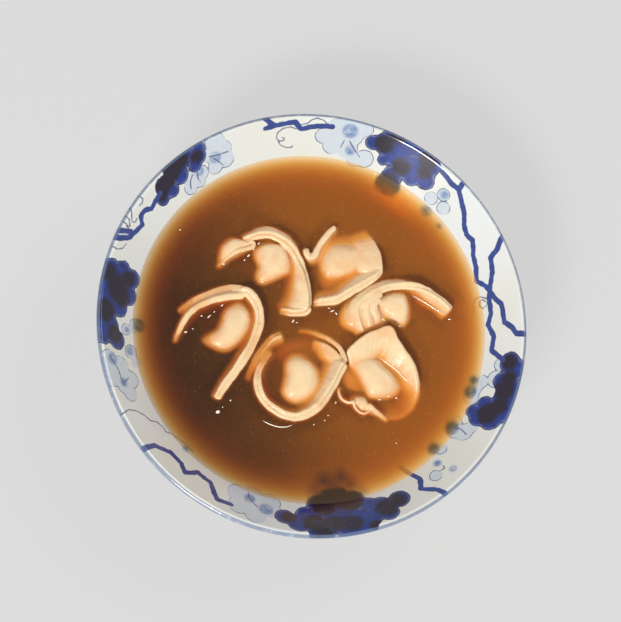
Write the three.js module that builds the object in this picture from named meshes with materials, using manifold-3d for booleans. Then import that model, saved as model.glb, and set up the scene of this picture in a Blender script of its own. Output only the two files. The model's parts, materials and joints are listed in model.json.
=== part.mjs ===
// Tortellini in broth: a shallow porcelain bowl on a foot ring, brown broth, and six folded tortellini.
// Millimetres, +Z up. The origin is the middle of the bowl's foot, on the surface that it stands on.

import * as THREE from 'three';
import { mergeVertices } from 'three/addons/utils/BufferGeometryUtils.js';
import Module from 'manifold-3d';

const wasm = await Module();
wasm.setup();

// Driving dimensions
const RIM_RADIUS = 75;
const BOWL_HEIGHT = 36;
const FLOOR_RADIUS = 23;
const FLOOR_HEIGHT = 10.5;
const INNER_ARC = 58.3;
const WALL = 3.6;
const WALL_ANGLE = THREE.MathUtils.degToRad(42);
const LIP_RADIUS = 1.25;
const FOOT_RADIUS = 36.2;
const FOOT_INNER_RADIUS = 32.2;
const FOOT_CHAMFER = 0.9;
const FOOT_TAPER = 0.5;
const BROTH_LEVEL = 25.5;
const GAP = 0.3;
const SEGMENTS = 48;
const ARC_STEPS = 6;
const LIP_TURNS = [-42, 0, 50, 100].map(THREE.MathUtils.degToRad);
const SAME_PLACE = 1e-3;

// The pasta is trimmed this far clear of the bowl's inside, beyond the gap, by a cutter taller than the bowl
const TRIM_CLEARANCE = 0.15;
const TRIM_ABOVE = 10;

// How a folded strip of dough is cut into facets, as shares of half its thickness
const NOTCH_DEPTH = 0.6;
const NOTCH_SHARE = 0.3;
const SHOULDER_SHARE = 0.3;
const KNEE_SHARE = 0.9;
const FOOT_SHARE = 0.7;
const LAYERED_FROM = 2.6;

const BULGE_STATIONS = 6;
const BULGE_SIDES = 8;
const BULGE_SQUARENESS = 2.5;
const BULGE_END_RISE = 0.7;

const PORCELAIN = { colour: 0xe9ebe6, roughness: 0.15 };
const BROTH = { colour: 0x8a4a22, roughness: 0.1 };
const PASTA = { colour: 0xf3d9b0, roughness: 0.45 };

// Sides of a strip, seen along it
const LEFT = 1;
const RIGHT = -1;

// A wall that hangs from a strip's cut edge: its thickness, how far in and how far down its knee lies
// from the edge, and how far in and how far down its foot lies from the knee. A knee outside the edge
// has a distance in below 0.
function wall(thick, kneeIn, kneeDown, footIn, footDown) {
  return { thick, kneeIn, kneeDown, footIn, footDown };
}

// A strip of folded dough: its cut edge as [x, y, height above the broth], the side on which the filling
// lies, and its wall at even steps from one end to the other. Where the dough spreads into a wide web, its
// knees are given in the same way as its edge, and the walls leave theirs at 0.
// A bulge: its spine as [x, y], its half width, and how far its top and its bottom are from the level.
const TORTELLINI = {
  tortellino_1: {
    strips: [
      {
        edge: [
          [-24.5, 29.8, 0.8], [-20.3, 31.2, 1.9], [-16.3, 31.9, 2.2], [-12.3, 31.1, 2.3],
          [-8.7, 28.6, 2.4], [-5.6, 24.6, 2.4], [-3.3, 19.4, 2.4], [-1.8, 14, 2.4], [-1.2, 9.5, 2.3],
          [-1.6, 5, 1.9],
        ],
        side: RIGHT,
        walls: [
          wall(2.6, -1, 3, 2, 5), wall(3.2, -2.6, 3, 4, 6), wall(3.3, -1.2, 3.2, 3, 6),
          wall(3.3, 3.8, 4, 3, 5), wall(3.2, 6, 3.2, 4, 4),
        ],
      },
      {
        edge: [
          [-33.7, 19.5, -1.6], [-32, 22.9, 0.3], [-31.1, 25.9, 1.6], [-29.1, 28.5, 2.1],
          [-25.7, 28.8, 2.3], [-22.6, 28, 2.1],
        ],
        side: RIGHT,
        walls: [wall(2.2, 2, 1.5, 1, 5), wall(2.4, 3.4, 1.5, 1, 7), wall(2.6, 1.4, 1.8, 1, 7)],
      },
    ],
    bulges: [
      { spine: [[-14, 31], [-12.9, 25], [-13.8, 19.6], [-17, 15.6]], half: 6.9, top: 2.1, bottom: -13 },
      { spine: [[-32, 24], [-18, 24], [-5, 15]], half: 9, top: -5.5, bottom: -16 },
    ],
  },
  tortellino_2: {
    strips: [
      {
        edge: [
          [1.9, 8.8, 0.6], [5, 8.6, 1.3], [8.7, 9.2, 2], [12.6, 11.5, 2.4], [16.6, 13.9, 2.6],
          [20.6, 16.5, 2.6], [23.4, 18.5, 2.5], [24.6, 21.5, 1.9], [24.4, 25.8, 1.5], [23.2, 29.7, 1.2],
          [21.6, 32.8, 0.7], [19.4, 35.8, -0.8],
        ],
        side: LEFT,
        knees: [
          [2.2, 11.4, -4.2], [5, 11.4, -3.9], [8, 12.2, -3.6], [11, 14.8, -3.2], [14.2, 17.2, -2.6],
          [16.8, 19.4, -2], [17.8, 21.4, -1.4], [17.4, 23.4, -1], [17, 26.2, -0.6], [16.4, 29, -0.8],
          [15.8, 31.4, -1.6], [15, 33.6, -3.4],
        ],
        walls: [wall(3.2, 0, 0, 1, 5), wall(3.6, 0, 0, 1, 5), wall(2.4, 0, 0, 1, 5), wall(1.8, 0, 0, 1, 4)],
      },
      {
        edge: [
          [8.5, 36.2, 1], [5.8, 34, 1.7], [3.6, 31.2, 1.9], [1.9, 28.2, 1.9], [0.7, 25.8, 1.7],
          [-0.8, 25, 1.4], [-1.9, 26.4, 1.3], [-2.1, 28.2, 0.9],
        ],
        side: LEFT,
        walls: [wall(2, 0.5, 3, 1, 4), wall(2.1, 1, 3.4, 2, 5), wall(2, 0.2, 3, 0.5, 3)],
      },
    ],
    bulges: [
      { spine: [[11.6, 32], [10.2, 25], [8.4, 15.4]], half: 7, top: 2.1, bottom: -13.5 },
      { spine: [[1, 27], [12, 22.5], [23, 22]], half: 9.5, top: -3.8, bottom: -16 },
    ],
  },
  tortellino_3: {
    strips: [
      {
        edge: [
          [18.8, -1.4, 0.6], [17.6, 1.2, 1.7], [16.5, 4.4, 2.4], [16.8, 7.2, 2.6], [18.9, 9.9, 2.6],
          [22.7, 12.4, 2.5], [27.7, 14.3, 2.4], [32.7, 15.1, 2.4], [37.7, 14.8, 2.5], [41.8, 13.5, 2.5],
          [45.9, 11, 2.4], [50.1, 7.4, 2.2],
        ],
        side: RIGHT,
        walls: [
          wall(2, -3, 3.2, 2, 5), wall(2.2, -3.4, 3.2, 4, 6), wall(3, -2.4, 3, 4, 6),
          wall(3, -2.2, 3.2, 4, 6), wall(2.8, 3, 2.8, 3, 4), wall(2.5, 3.6, 2.3, 3, 2.6),
        ],
      },
      {
        edge: [[21.3, 0.4, 0.8], [20.3, 2.8, 2], [19.3, 5.8, 2.6], [19.8, 8.6, 2.7], [22.3, 10.9, 2.4]],
        side: RIGHT,
        walls: [wall(2, 0, 3, 0.5, 5), wall(2.1, 0, 3, 0.5, 5)],
      },
      {
        edge: [[24.2, 1.8, 0.6], [23.2, 4.4, 2], [22.4, 7, 2.5], [24.4, 9.6, 2.2]],
        side: RIGHT,
        walls: [wall(2, 0, 3, 0.5, 5), wall(2, 0, 3, 0.5, 5)],
      },
    ],
    bulges: [
      { spine: [[20.5, 9.6], [26, 8.2], [31, 7.4], [35.6, 7.2]], half: 6.6, top: 2.5, bottom: -12 },
      { spine: [[13, 4.5], [27, 8.5], [41, 10.5]], half: 7.5, top: -4.6, bottom: -15 },
    ],
  },
  tortellino_4: {
    strips: [
      {
        edge: [
          [-23.8, 9.6, 1.8], [-28.3, 9, 2.1], [-32.3, 8.1, 2.1], [-36.3, 6.9, 2.1], [-40.2, 5, 2],
          [-43.2, 2, 1.7], [-45.4, -1.4, 1], [-46.9, -4.7, -0.5], [-47.7, -7.2, -2.2],
        ],
        side: LEFT,
        walls: [
          wall(2.8, -2.6, 3, 5, 6), wall(2.8, -3.6, 3.2, 5.5, 6), wall(2.6, -2.6, 2.8, 4, 5),
          wall(1.8, -0.4, 1.6, 1, 2.4),
        ],
      },
      {
        edge: [
          [-25.6, 11, 1.3], [-23.2, 11, 2.2], [-20.9, 8.9, 2.4], [-19.2, 6, 2.5], [-18.6, 2.5, 2.5],
          [-18.9, -1.5, 2.5], [-20.3, -6, 2.4], [-22.6, -10.5, 2.3], [-25.3, -15, 2.1], [-28.1, -19, 1.9],
          [-30.7, -23, 1.7], [-33.1, -27, 1.4],
        ],
        side: RIGHT,
        walls: [
          wall(3.6, -0.6, 3, 3, 5), wall(3.3, 0, 3, 3, 6), wall(3.4, 0.4, 3, 2, 4),
          wall(3, 0.5, 2.5, 0.6, 2.5),
        ],
      },
    ],
    bulges: [
      { spine: [[-24.4, 9], [-25.8, 1.4], [-29.6, -4.6], [-39.6, -6.4]], half: 5.9, top: 2, bottom: -11 },
      { spine: [[-41, 3], [-29, 2.5], [-19.5, -4]], half: 8, top: -5.2, bottom: -15 },
    ],
  },
  tortellino_5: {
    strips: [
      {
        edge: [
          [-12.9, -7, -0.9], [-15.9, -11, -0.4], [-17.9, -15, 0.3], [-19, -19, 0.9], [-18.8, -22.8, 1.4],
          [-17, -26.5, 1.8], [-13.6, -29.9, 2], [-9.4, -32.1, 2.1], [-5, -32.7, 2.1], [-0.6, -31, 2.2],
          [3.3, -27.6, 2.3], [6.6, -22.8, 2.4], [9.5, -17.4, 2.4], [11.6, -13.4, 2.1],
        ],
        side: LEFT,
        walls: [
          wall(2, 0.5, 2.5, 1.5, 3.5), wall(2.3, 0, 3, 3, 5), wall(2.6, 0.4, 3, 4, 6),
          wall(3.4, 1.8, 3, 4, 5), wall(3.8, 3.4, 3, 3, 4),
        ],
      },
      {
        edge: [
          [-10.6, -3.8, -0.4], [-14.5, -5.3, -0.3], [-17.6, -8.8, -0.4], [-19.9, -12.8, -0.2],
          [-21.6, -17, -1.1], [-22.4, -21, -2.6],
        ],
        side: LEFT,
        walls: [wall(2.4, 3, 1.2, 1, 3), wall(2, 0.8, 2, 1.6, 3), wall(2, 0.8, 2, 2, 3)],
      },
      {
        edge: [
          [11.6, -13, 1.8], [11.3, -10.2, 1.2], [9.4, -7, 0.7], [6.4, -4.7, 0.2], [2.6, -3, -0.5],
          [-1, -1.8, -1.3], [-5, -1.6, -2.4],
        ],
        side: LEFT,
        walls: [wall(1.6, 0.2, 3, 1, 3), wall(1.5, 0.2, 3, 1.5, 4), wall(1.5, 0.2, 3, 1, 3)],
      },
      {
        edge: [[10.6, -12.6, 1.1], [8.7, -8.6, 0.9], [5.4, -6.6, 0.7], [1.6, -5.8, 0.2], [-1.6, -5.8, -1]],
        side: LEFT,
        walls: [wall(1.8, 3.6, 1.4, 2, 6), wall(1.8, 4.8, 1.3, 2, 6), wall(1.8, 3, 2.4, 2, 5)],
      },
    ],
    bulges: [
      { spine: [[-6.6, -9.2], [-3.6, -15], [-3.6, -20.8], [-6.8, -27.6]], half: 6.2, top: 2, bottom: -13.5 },
      { spine: [[-14, -17], [-4, -18], [8, -14]], half: 11, top: -5, bottom: -16 },
    ],
  },
  tortellino_6: {
    strips: [
      {
        edge: [
          [12.4, -9.3, 1.9], [14.6, -6.6, 2.1], [18, -3.9, 2.4], [22.3, -1.6, 2.6], [27.5, 0, 2.6],
          [30.4, -4.6, 2.6], [33.1, -8.7, 2.5], [35.5, -12.6, 2.3], [37, -16.4, 1.9], [37.7, -20.2, 1.2],
          [37.5, -24, -0.3], [36, -27.8, -1.2], [33, -30.8, -1.7], [29.6, -32, -1.8], [26.6, -31.8, -1.2],
        ],
        side: RIGHT,
        knees: [
          [13.6, -13, -1], [15.8, -12.6, -0.7], [18.6, -12, -0.6], [21.2, -11.8, -0.8], [24, -12.4, -1.2],
          [26, -13.8, -1.7], [27.8, -15, -2.2], [29.8, -16.6, -2.6], [31.6, -18.6, -3],
          [32.4, -20.8, -3.6], [32, -23, -4.5], [31, -25.4, -5], [29.6, -27, -5.2], [28.4, -28, -5.2],
          [26.8, -28.6, -5],
        ],
        walls: [wall(2.4, 0, 0, 1, 5), wall(2.6, 0, 0, 1, 5), wall(2.4, 0, 0, 1, 3)],
      },
      {
        edge: [
          [9.7, -21.6, 0.7], [9.6, -23.8, 1.4], [10.3, -25.8, 1.7], [12.4, -26.9, 1.8], [15, -26.6, 1.9],
        ],
        side: LEFT,
        walls: [wall(1.6, 0.4, 2.5, 1, 4), wall(1.8, 0.4, 2.5, 1, 4)],
      },
      {
        edge: [
          [13.2, -24.9, 0.4], [15.8, -24.9, 1.9], [18.4, -25.1, 2.5], [19.5, -27.4, 2.6],
          [21.4, -29.5, 2.2], [24.2, -31, 1.2], [27, -32.6, -0.6],
        ],
        side: LEFT,
        walls: [wall(2.2, 0.4, 3, 1, 4), wall(2.8, -0.5, 3, 2, 4), wall(2, 0.2, 2.5, 1, 3)],
      },
      {
        edge: [[15.2, -27, 1.6], [15.2, -28.6, 1.2], [16.4, -29.9, 1], [18.2, -30.5, 1], [20, -30, 1.2]],
        side: LEFT,
        walls: [wall(1.1, 0.2, 2, 0.4, 3), wall(1.1, 0.2, 2, 0.4, 3)],
      },
    ],
    bulges: [
      { spine: [[12.8, -11.2], [18.4, -14.6], [24.4, -18.2], [34, -20]], half: 6.7, top: 2, bottom: -13 },
      { spine: [[13, -17], [22, -20], [32, -22]], half: 10.5, top: -5, bottom: -15.5 },
    ],
  },
};

// Closed solids from lists of corners

function closedMesh(corners, triangles) {
  let volume = 0;
  for (const [a, b, c] of triangles) {
    volume += corners[a].dot(new THREE.Vector3().crossVectors(corners[b], corners[c]));
  }
  const facing = volume > 0 ? triangles : triangles.map(([a, b, c]) => [a, c, b]);
  const vertProperties = new Float32Array(corners.flatMap((p) => [p.x, p.y, p.z]));
  const triVerts = new Uint32Array(facing.flat());
  return new wasm.Manifold(new wasm.Mesh({ numProp: 3, vertProperties, triVerts }));
}

function latheSolid(profile) {
  const lathe = new THREE.LatheGeometry(profile, SEGMENTS);
  lathe.deleteAttribute('normal');
  lathe.deleteAttribute('uv');
  lathe.rotateX(Math.PI / 2);
  const merged = mergeVertices(lathe, SAME_PLACE);
  const position = merged.getAttribute('position');
  const corners = [];
  for (let i = 0; i < position.count; i += 1) {
    corners.push(new THREE.Vector3().fromBufferAttribute(position, i));
  }
  const triangles = [];
  for (let i = 0; i < merged.index.count; i += 3) {
    const [a, b, c] = [0, 1, 2].map((k) => merged.index.getX(i + k));
    if (a !== b && b !== c && c !== a) {
      triangles.push([a, b, c]);
    }
  }
  return closedMesh(corners, triangles);
}

// Joins sections into a closed body. A section has a place, a level direction, and an outline whose x runs
// along that direction and whose y runs up.
function loft(sections) {
  const count = sections[0].outline.length;
  const corners = sections.flatMap(({ place, across, outline }) =>
    outline.map((p) => place.clone().addScaledVector(across, p.x).add(new THREE.Vector3(0, 0, p.y))));
  const triangles = [];
  for (let i = 0; i + 1 < sections.length; i += 1) {
    for (let j = 0; j < count; j += 1) {
      const a = i * count + j;
      const b = i * count + ((j + 1) % count);
      triangles.push([a, b, b + count], [a, b + count, a + count]);
    }
  }
  const last = (sections.length - 1) * count;
  for (const face of THREE.ShapeUtils.triangulateShape(sections[0].outline, [])) {
    const [a, b, c] = [...face].sort((p, q) => p - q);
    triangles.push([a, c, b]);
  }
  for (const face of THREE.ShapeUtils.triangulateShape(sections.at(-1).outline, [])) {
    const [a, b, c] = [...face].sort((p, q) => p - q);
    triangles.push([last + a, last + b, last + c]);
  }
  return closedMesh(corners, triangles);
}

function smoothLine(points) {
  const at = points.map(([x, y, rise = 0]) => new THREE.Vector3(x, y, BROTH_LEVEL + rise));
  return new THREE.CatmullRomCurve3(at, false, 'centripetal');
}

function mixWalls(walls, t) {
  const step = t * (walls.length - 1);
  const i = Math.min(Math.floor(step), walls.length - 2);
  const mixed = {};
  for (const name of Object.keys(walls[0])) {
    mixed[name] = THREE.MathUtils.lerp(walls[i][name], walls[i + 1][name], step - i);
  }
  return mixed;
}

// The outline of a strip's wall: a rounded top, with a groove where it has two layers, then the knee and the
// thinner foot of both faces.
function wallOutline({ thick, kneeIn, kneeDown, footIn, footDown }, layered, grow) {
  const half = thick / 2 + grow;
  const knee = new THREE.Vector2(kneeIn, -kneeDown);
  const foot = new THREE.Vector2(kneeIn + footIn, -kneeDown - footDown);
  const first = knee.clone().normalize();
  const second = foot.clone().sub(knee).normalize();
  const bend = first.clone().add(second).normalize();
  const from = (point, way, inwards, up) =>
    point.clone().addScaledVector(way, -up).add(new THREE.Vector2(-way.y, way.x).multiplyScalar(inwards));
  const edge = new THREE.Vector2();
  const shoulder = grow - SHOULDER_SHARE * half;
  const ridges = [
    from(edge, first, -NOTCH_SHARE * half, 0),
    from(edge, first, 0, -NOTCH_DEPTH),
    from(edge, first, NOTCH_SHARE * half, 0),
  ];
  return [
    from(edge, first, -half, shoulder),
    ...(layered && grow === 0 ? ridges : [from(edge, first, 0, grow)]),
    from(edge, first, half, shoulder),
    from(knee, bend, KNEE_SHARE * half, 0),
    from(foot, second, FOOT_SHARE * half, -grow),
    from(foot, second, -FOOT_SHARE * half, -grow),
    from(knee, bend, -KNEE_SHARE * half, 0),
  ];
}

function doughStrip({ edge, knees, side, walls }, grow) {
  const line = smoothLine(edge);
  const kneeLine = knees && smoothLine(knees);
  const layered = walls.some(({ thick }) => thick >= LAYERED_FROM);
  const steps = edge.length - 1;
  const sections = [];
  for (let i = 0; i <= steps; i += 1) {
    const place = line.getPoint(i / steps);
    const along = line.getTangent(i / steps).setZ(0).normalize();
    const across = new THREE.Vector3(-along.y, along.x, 0).multiplyScalar(side);
    const form = mixWalls(walls, i / steps);
    if (kneeLine) {
      const reach = kneeLine.getPoint(i / steps).sub(place);
      form.kneeDown = -reach.z;
      reach.z = 0;
      form.kneeIn = reach.length();
      across.copy(reach.normalize());
    }
    if (i === 0 || i === steps) {
      place.addScaledVector(along, i === 0 ? -grow : grow);
    }
    sections.push({ place, across, outline: wallOutline(form, layered, grow) });
  }
  return loft(sections);
}

// A filled bulge: boxy ovals along a spine, drawn in to both ends
function doughBulge({ spine, half, top, bottom }, grow) {
  const line = smoothLine(spine);
  const rise = (top - bottom) / 2 + grow;
  const sections = [];
  for (let i = 0; i < BULGE_STATIONS; i += 1) {
    const t = (1 - Math.cos((Math.PI * (i + 0.5)) / BULGE_STATIONS)) / 2;
    const fullness = (1 - Math.abs(2 * t - 1) ** BULGE_SQUARENESS) ** (1 / BULGE_SQUARENESS);
    const along = line.getTangent(t);
    const outline = [];
    for (let k = 0; k < BULGE_SIDES; k += 1) {
      const turn = (2 * Math.PI * k) / BULGE_SIDES;
      const boxy = (v) => Math.sign(v) * Math.abs(v) ** (2 / BULGE_SQUARENESS);
      const x = (half + grow) * fullness * boxy(Math.cos(turn));
      const y = (top + bottom) / 2 + rise * fullness ** BULGE_END_RISE * boxy(Math.sin(turn));
      outline.push(new THREE.Vector2(x, y));
    }
    sections.push({ place: line.getPoint(t), across: new THREE.Vector3(-along.y, along.x, 0), outline });
  }
  return loft(sections);
}

function largestBody(solid) {
  return solid.decompose().reduce((best, body) => (body.volume() > best.volume() ? body : best));
}

function tortellino(shape, grow) {
  const parts = [
    ...shape.strips.map((strip) => doughStrip(strip, grow)),
    ...shape.bulges.map((bulge) => doughBulge(bulge, grow)),
  ];
  return parts.reduce((sum, part) => sum.add(part));
}

// A point of the bowl's curved wall, by the wall's radius and the turn up from the floor's edge
function onWall(radius, turn) {
  const middle = FLOOR_HEIGHT + INNER_ARC;
  return new THREE.Vector2(FLOOR_RADIUS + radius * Math.sin(turn), middle - radius * Math.cos(turn));
}

// The bowl's inside from the middle of its floor to a height, drawn in by a clearance
function insideProfile(clearance, height) {
  const points = [new THREE.Vector2(0, FLOOR_HEIGHT + clearance)];
  for (let i = 0; i <= ARC_STEPS; i += 1) {
    points.push(onWall(INNER_ARC - clearance, (WALL_ANGLE * i) / ARC_STEPS));
  }
  const [before, last] = points.slice(-2);
  const share = (height - before.y) / (last.y - before.y);
  points[points.length - 1] = before.clone().lerp(last, share);
  points.push(new THREE.Vector2(0, height));
  return points;
}

function bowlSolid() {
  const outerArc = INNER_ARC + WALL;
  const points = [new THREE.Vector2(0, FLOOR_HEIGHT)];
  for (let i = 0; i <= ARC_STEPS; i += 1) {
    points.push(onWall(INNER_ARC, (WALL_ANGLE * i) / ARC_STEPS));
  }
  const lip = new THREE.Vector2(RIM_RADIUS - LIP_RADIUS, BOWL_HEIGHT - LIP_RADIUS);
  for (const turn of LIP_TURNS) {
    points.push(new THREE.Vector2(lip.x + LIP_RADIUS * Math.sin(turn), lip.y + LIP_RADIUS * Math.cos(turn)));
  }
  const footTop = Math.asin((FOOT_RADIUS - FLOOR_RADIUS) / outerArc);
  for (let i = ARC_STEPS; i >= 0; i -= 1) {
    points.push(onWall(outerArc, footTop + ((WALL_ANGLE - footTop) * i) / ARC_STEPS));
  }
  const footOuter = FOOT_RADIUS - FOOT_TAPER;
  const footInnerTop = Math.asin((FOOT_INNER_RADIUS - FLOOR_RADIUS) / outerArc);
  points.push(
    new THREE.Vector2(footOuter, FOOT_CHAMFER),
    new THREE.Vector2(footOuter - FOOT_CHAMFER, 0),
    new THREE.Vector2(FOOT_INNER_RADIUS + FOOT_CHAMFER, 0),
    new THREE.Vector2(FOOT_INNER_RADIUS, FOOT_CHAMFER),
    onWall(outerArc, footInnerTop),
    onWall(outerArc, 0),
    new THREE.Vector2(0, FLOOR_HEIGHT - WALL),
  );
  return latheSolid(points);
}

function namedMesh(name, solid, { colour, roughness }) {
  const { vertProperties, triVerts } = solid.getMesh();
  const geometry = new THREE.BufferGeometry();
  geometry.setAttribute('position', new THREE.BufferAttribute(new Float32Array(vertProperties), 3));
  geometry.setIndex(new THREE.BufferAttribute(new Uint32Array(triVerts), 1));
  geometry.computeVertexNormals();
  const material = new THREE.MeshStandardMaterial({ color: colour, roughness, flatShading: true });
  const mesh = new THREE.Mesh(geometry, material);
  mesh.name = name;
  return mesh;
}

// Each tortellino is trimmed clear of the bowl's floor and of the ones placed before it, and the broth is
// what is left of the bowl's inside below its level.
const trim = latheSolid(insideProfile(GAP + TRIM_CLEARANCE, BOWL_HEIGHT + TRIM_ABOVE));
let taken = null;
const pasta = [];
for (const [name, shape] of Object.entries(TORTELLINI)) {
  const cut = tortellino(shape, 0).intersect(trim);
  pasta.push(namedMesh(name, largestBody(taken ? cut.subtract(taken) : cut), PASTA));
  const grown = tortellino(shape, GAP);
  taken = taken ? taken.add(grown) : grown;
}
const broth = largestBody(latheSolid(insideProfile(GAP, BROTH_LEVEL)).subtract(taken));

const dish = new THREE.Group();
dish.name = 'tortellini_in_broth';
dish.add(namedMesh('bowl', bowlSolid(), PORCELAIN));
dish.add(namedMesh('broth', broth, BROTH));
dish.add(...pasta);

export default dish;
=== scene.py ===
# Tortellini in broth: a painted porcelain bowl, brown broth and six folded tortellini, laid out as an add-on.
import json
import math
from contextlib import contextmanager

import bmesh
import bpy
import numpy as np
from mathutils import Matrix, Vector
from mathutils.bvhtree import BVHTree
from mathutils.kdtree import KDTree

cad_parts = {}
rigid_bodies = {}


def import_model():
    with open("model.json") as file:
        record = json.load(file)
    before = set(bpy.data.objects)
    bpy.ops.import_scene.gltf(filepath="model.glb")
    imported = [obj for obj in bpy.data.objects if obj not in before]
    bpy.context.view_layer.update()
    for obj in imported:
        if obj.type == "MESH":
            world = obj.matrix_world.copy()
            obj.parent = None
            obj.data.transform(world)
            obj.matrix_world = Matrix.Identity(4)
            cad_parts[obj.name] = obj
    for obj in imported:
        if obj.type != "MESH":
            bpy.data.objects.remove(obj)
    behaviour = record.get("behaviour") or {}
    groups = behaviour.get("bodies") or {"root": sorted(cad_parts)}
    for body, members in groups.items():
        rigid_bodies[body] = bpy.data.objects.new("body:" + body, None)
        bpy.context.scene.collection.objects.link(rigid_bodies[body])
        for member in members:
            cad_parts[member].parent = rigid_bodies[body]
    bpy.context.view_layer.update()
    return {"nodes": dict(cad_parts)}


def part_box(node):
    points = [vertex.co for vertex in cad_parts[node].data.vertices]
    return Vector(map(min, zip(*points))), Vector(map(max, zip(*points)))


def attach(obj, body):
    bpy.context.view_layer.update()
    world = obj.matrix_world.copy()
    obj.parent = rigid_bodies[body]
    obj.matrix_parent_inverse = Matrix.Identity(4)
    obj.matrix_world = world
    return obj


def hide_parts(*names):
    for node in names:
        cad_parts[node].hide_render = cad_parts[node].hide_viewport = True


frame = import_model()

bl_info = {
    "name": "Tortellini in Broth",
    "version": (1, 0, 0),
    "blender": (4, 5, 0),
    "location": "3D View > Sidebar > Tortellini",
    "description": "Builds a painted porcelain bowl with broth and folded tortellini",
    "category": "Add Mesh",
}

MM = 0.001
BROTH_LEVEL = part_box("broth")[1].z
PASTA_NODES = sorted(name for name in frame["nodes"] if name.startswith("tortellino"))

# All below is in millimetres. The bowl: a flat floor, a curved wall that ends straight, a lip and a foot ring
LEVEL = BROTH_LEVEL / MM
BOWL_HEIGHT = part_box("bowl")[1].z / MM
RIM_RADIUS = 75.0
FLOOR_RADIUS = 23.0
FLOOR_HEIGHT = 10.5
INNER_ARC = 58.3
WALL = 3.6
WALL_ANGLE = math.radians(42)
WALL_SLOPE = math.radians(43)
LIP_RADIUS = 1.25
FOOT_RADIUS = 36.2
FOOT_INNER_RADIUS = 32.2
FOOT_ROUNDING = 0.9
SAME_RING = 0.02

# The painted wall, unrolled: across it in degrees, and up it from where the arc ends, near the broth's edge
BAND_LOW = -6.0
BAND_STEP = 0.36
BAND_COLUMNS = 1024
PLAIN_COLUMNS = 256
WALL_LENGTH = 16.63
MM_PER_DEGREE = 1.196
FULL_TURN = 360 * MM_PER_DEGREE
BRANCH_HALF = 0.95
TENDRIL_HALF = 0.22
PAINT_REACH = 8.0

# The dough: the spacing of a strip's sections, the groove between its layers, and the room round each piece
STATION = 0.45
TWO_LAYERS_FROM = 2.6
GROOVE_DEPTH = 0.62
GROOVE_WIDTH = 0.24
END_ROUNDING = 0.9
OFF_FLOOR = 0.4
APART = 0.2

# The broth: its grid, how deep it is half hidden, and how far pasta closes it in for the painted shade
# between pieces
BROTH_CELLS = 300
WATER_IOR = 1.33
PASTA_REACH = 57.0
CLEAR_DEPTH = 3.2
PASTA_SHADE_REACH = 11
PASTA_SHADE_WAYS = 5
UNDER_GLAZE = 0.2

LEFT = 1
RIGHT = -1


def srgb(red, green, blue):
    """A screen colour from 0 to 255 as the linear colour that materials take."""
    linear = []
    for value in (red, green, blue):
        share = value / 255
        linear.append(share / 12.92 if share <= 0.04045 else ((share + 0.055) / 1.055) ** 2.4)
    return tuple(linear)


# How each tortellino is folded: strips of double dough first, then the filled humps between them


def strip(edge, side, walls, knees=None):
    """A strip's cut edge as (x, y, height above the broth), the side that it folds to, and its walls.

    A wall is (thickness, the fold's knee: how far in and down, its foot: how far in and down from the knee).
    """
    return {"edge": edge, "side": side, "walls": walls, "knees": knees}


def bulge(spine, half, top, bottom):
    """A rounded body along a spine of (x, y), between two heights from the broth's level."""
    return {"spine": spine, "half": half, "top": top, "bottom": bottom}


def mound(stations, bottom=-13):
    """A filled or folded hump. A station is (left x, left y, right x, right y, top) at the broth's level."""
    return {"stations": stations, "bottom": bottom}


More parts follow.
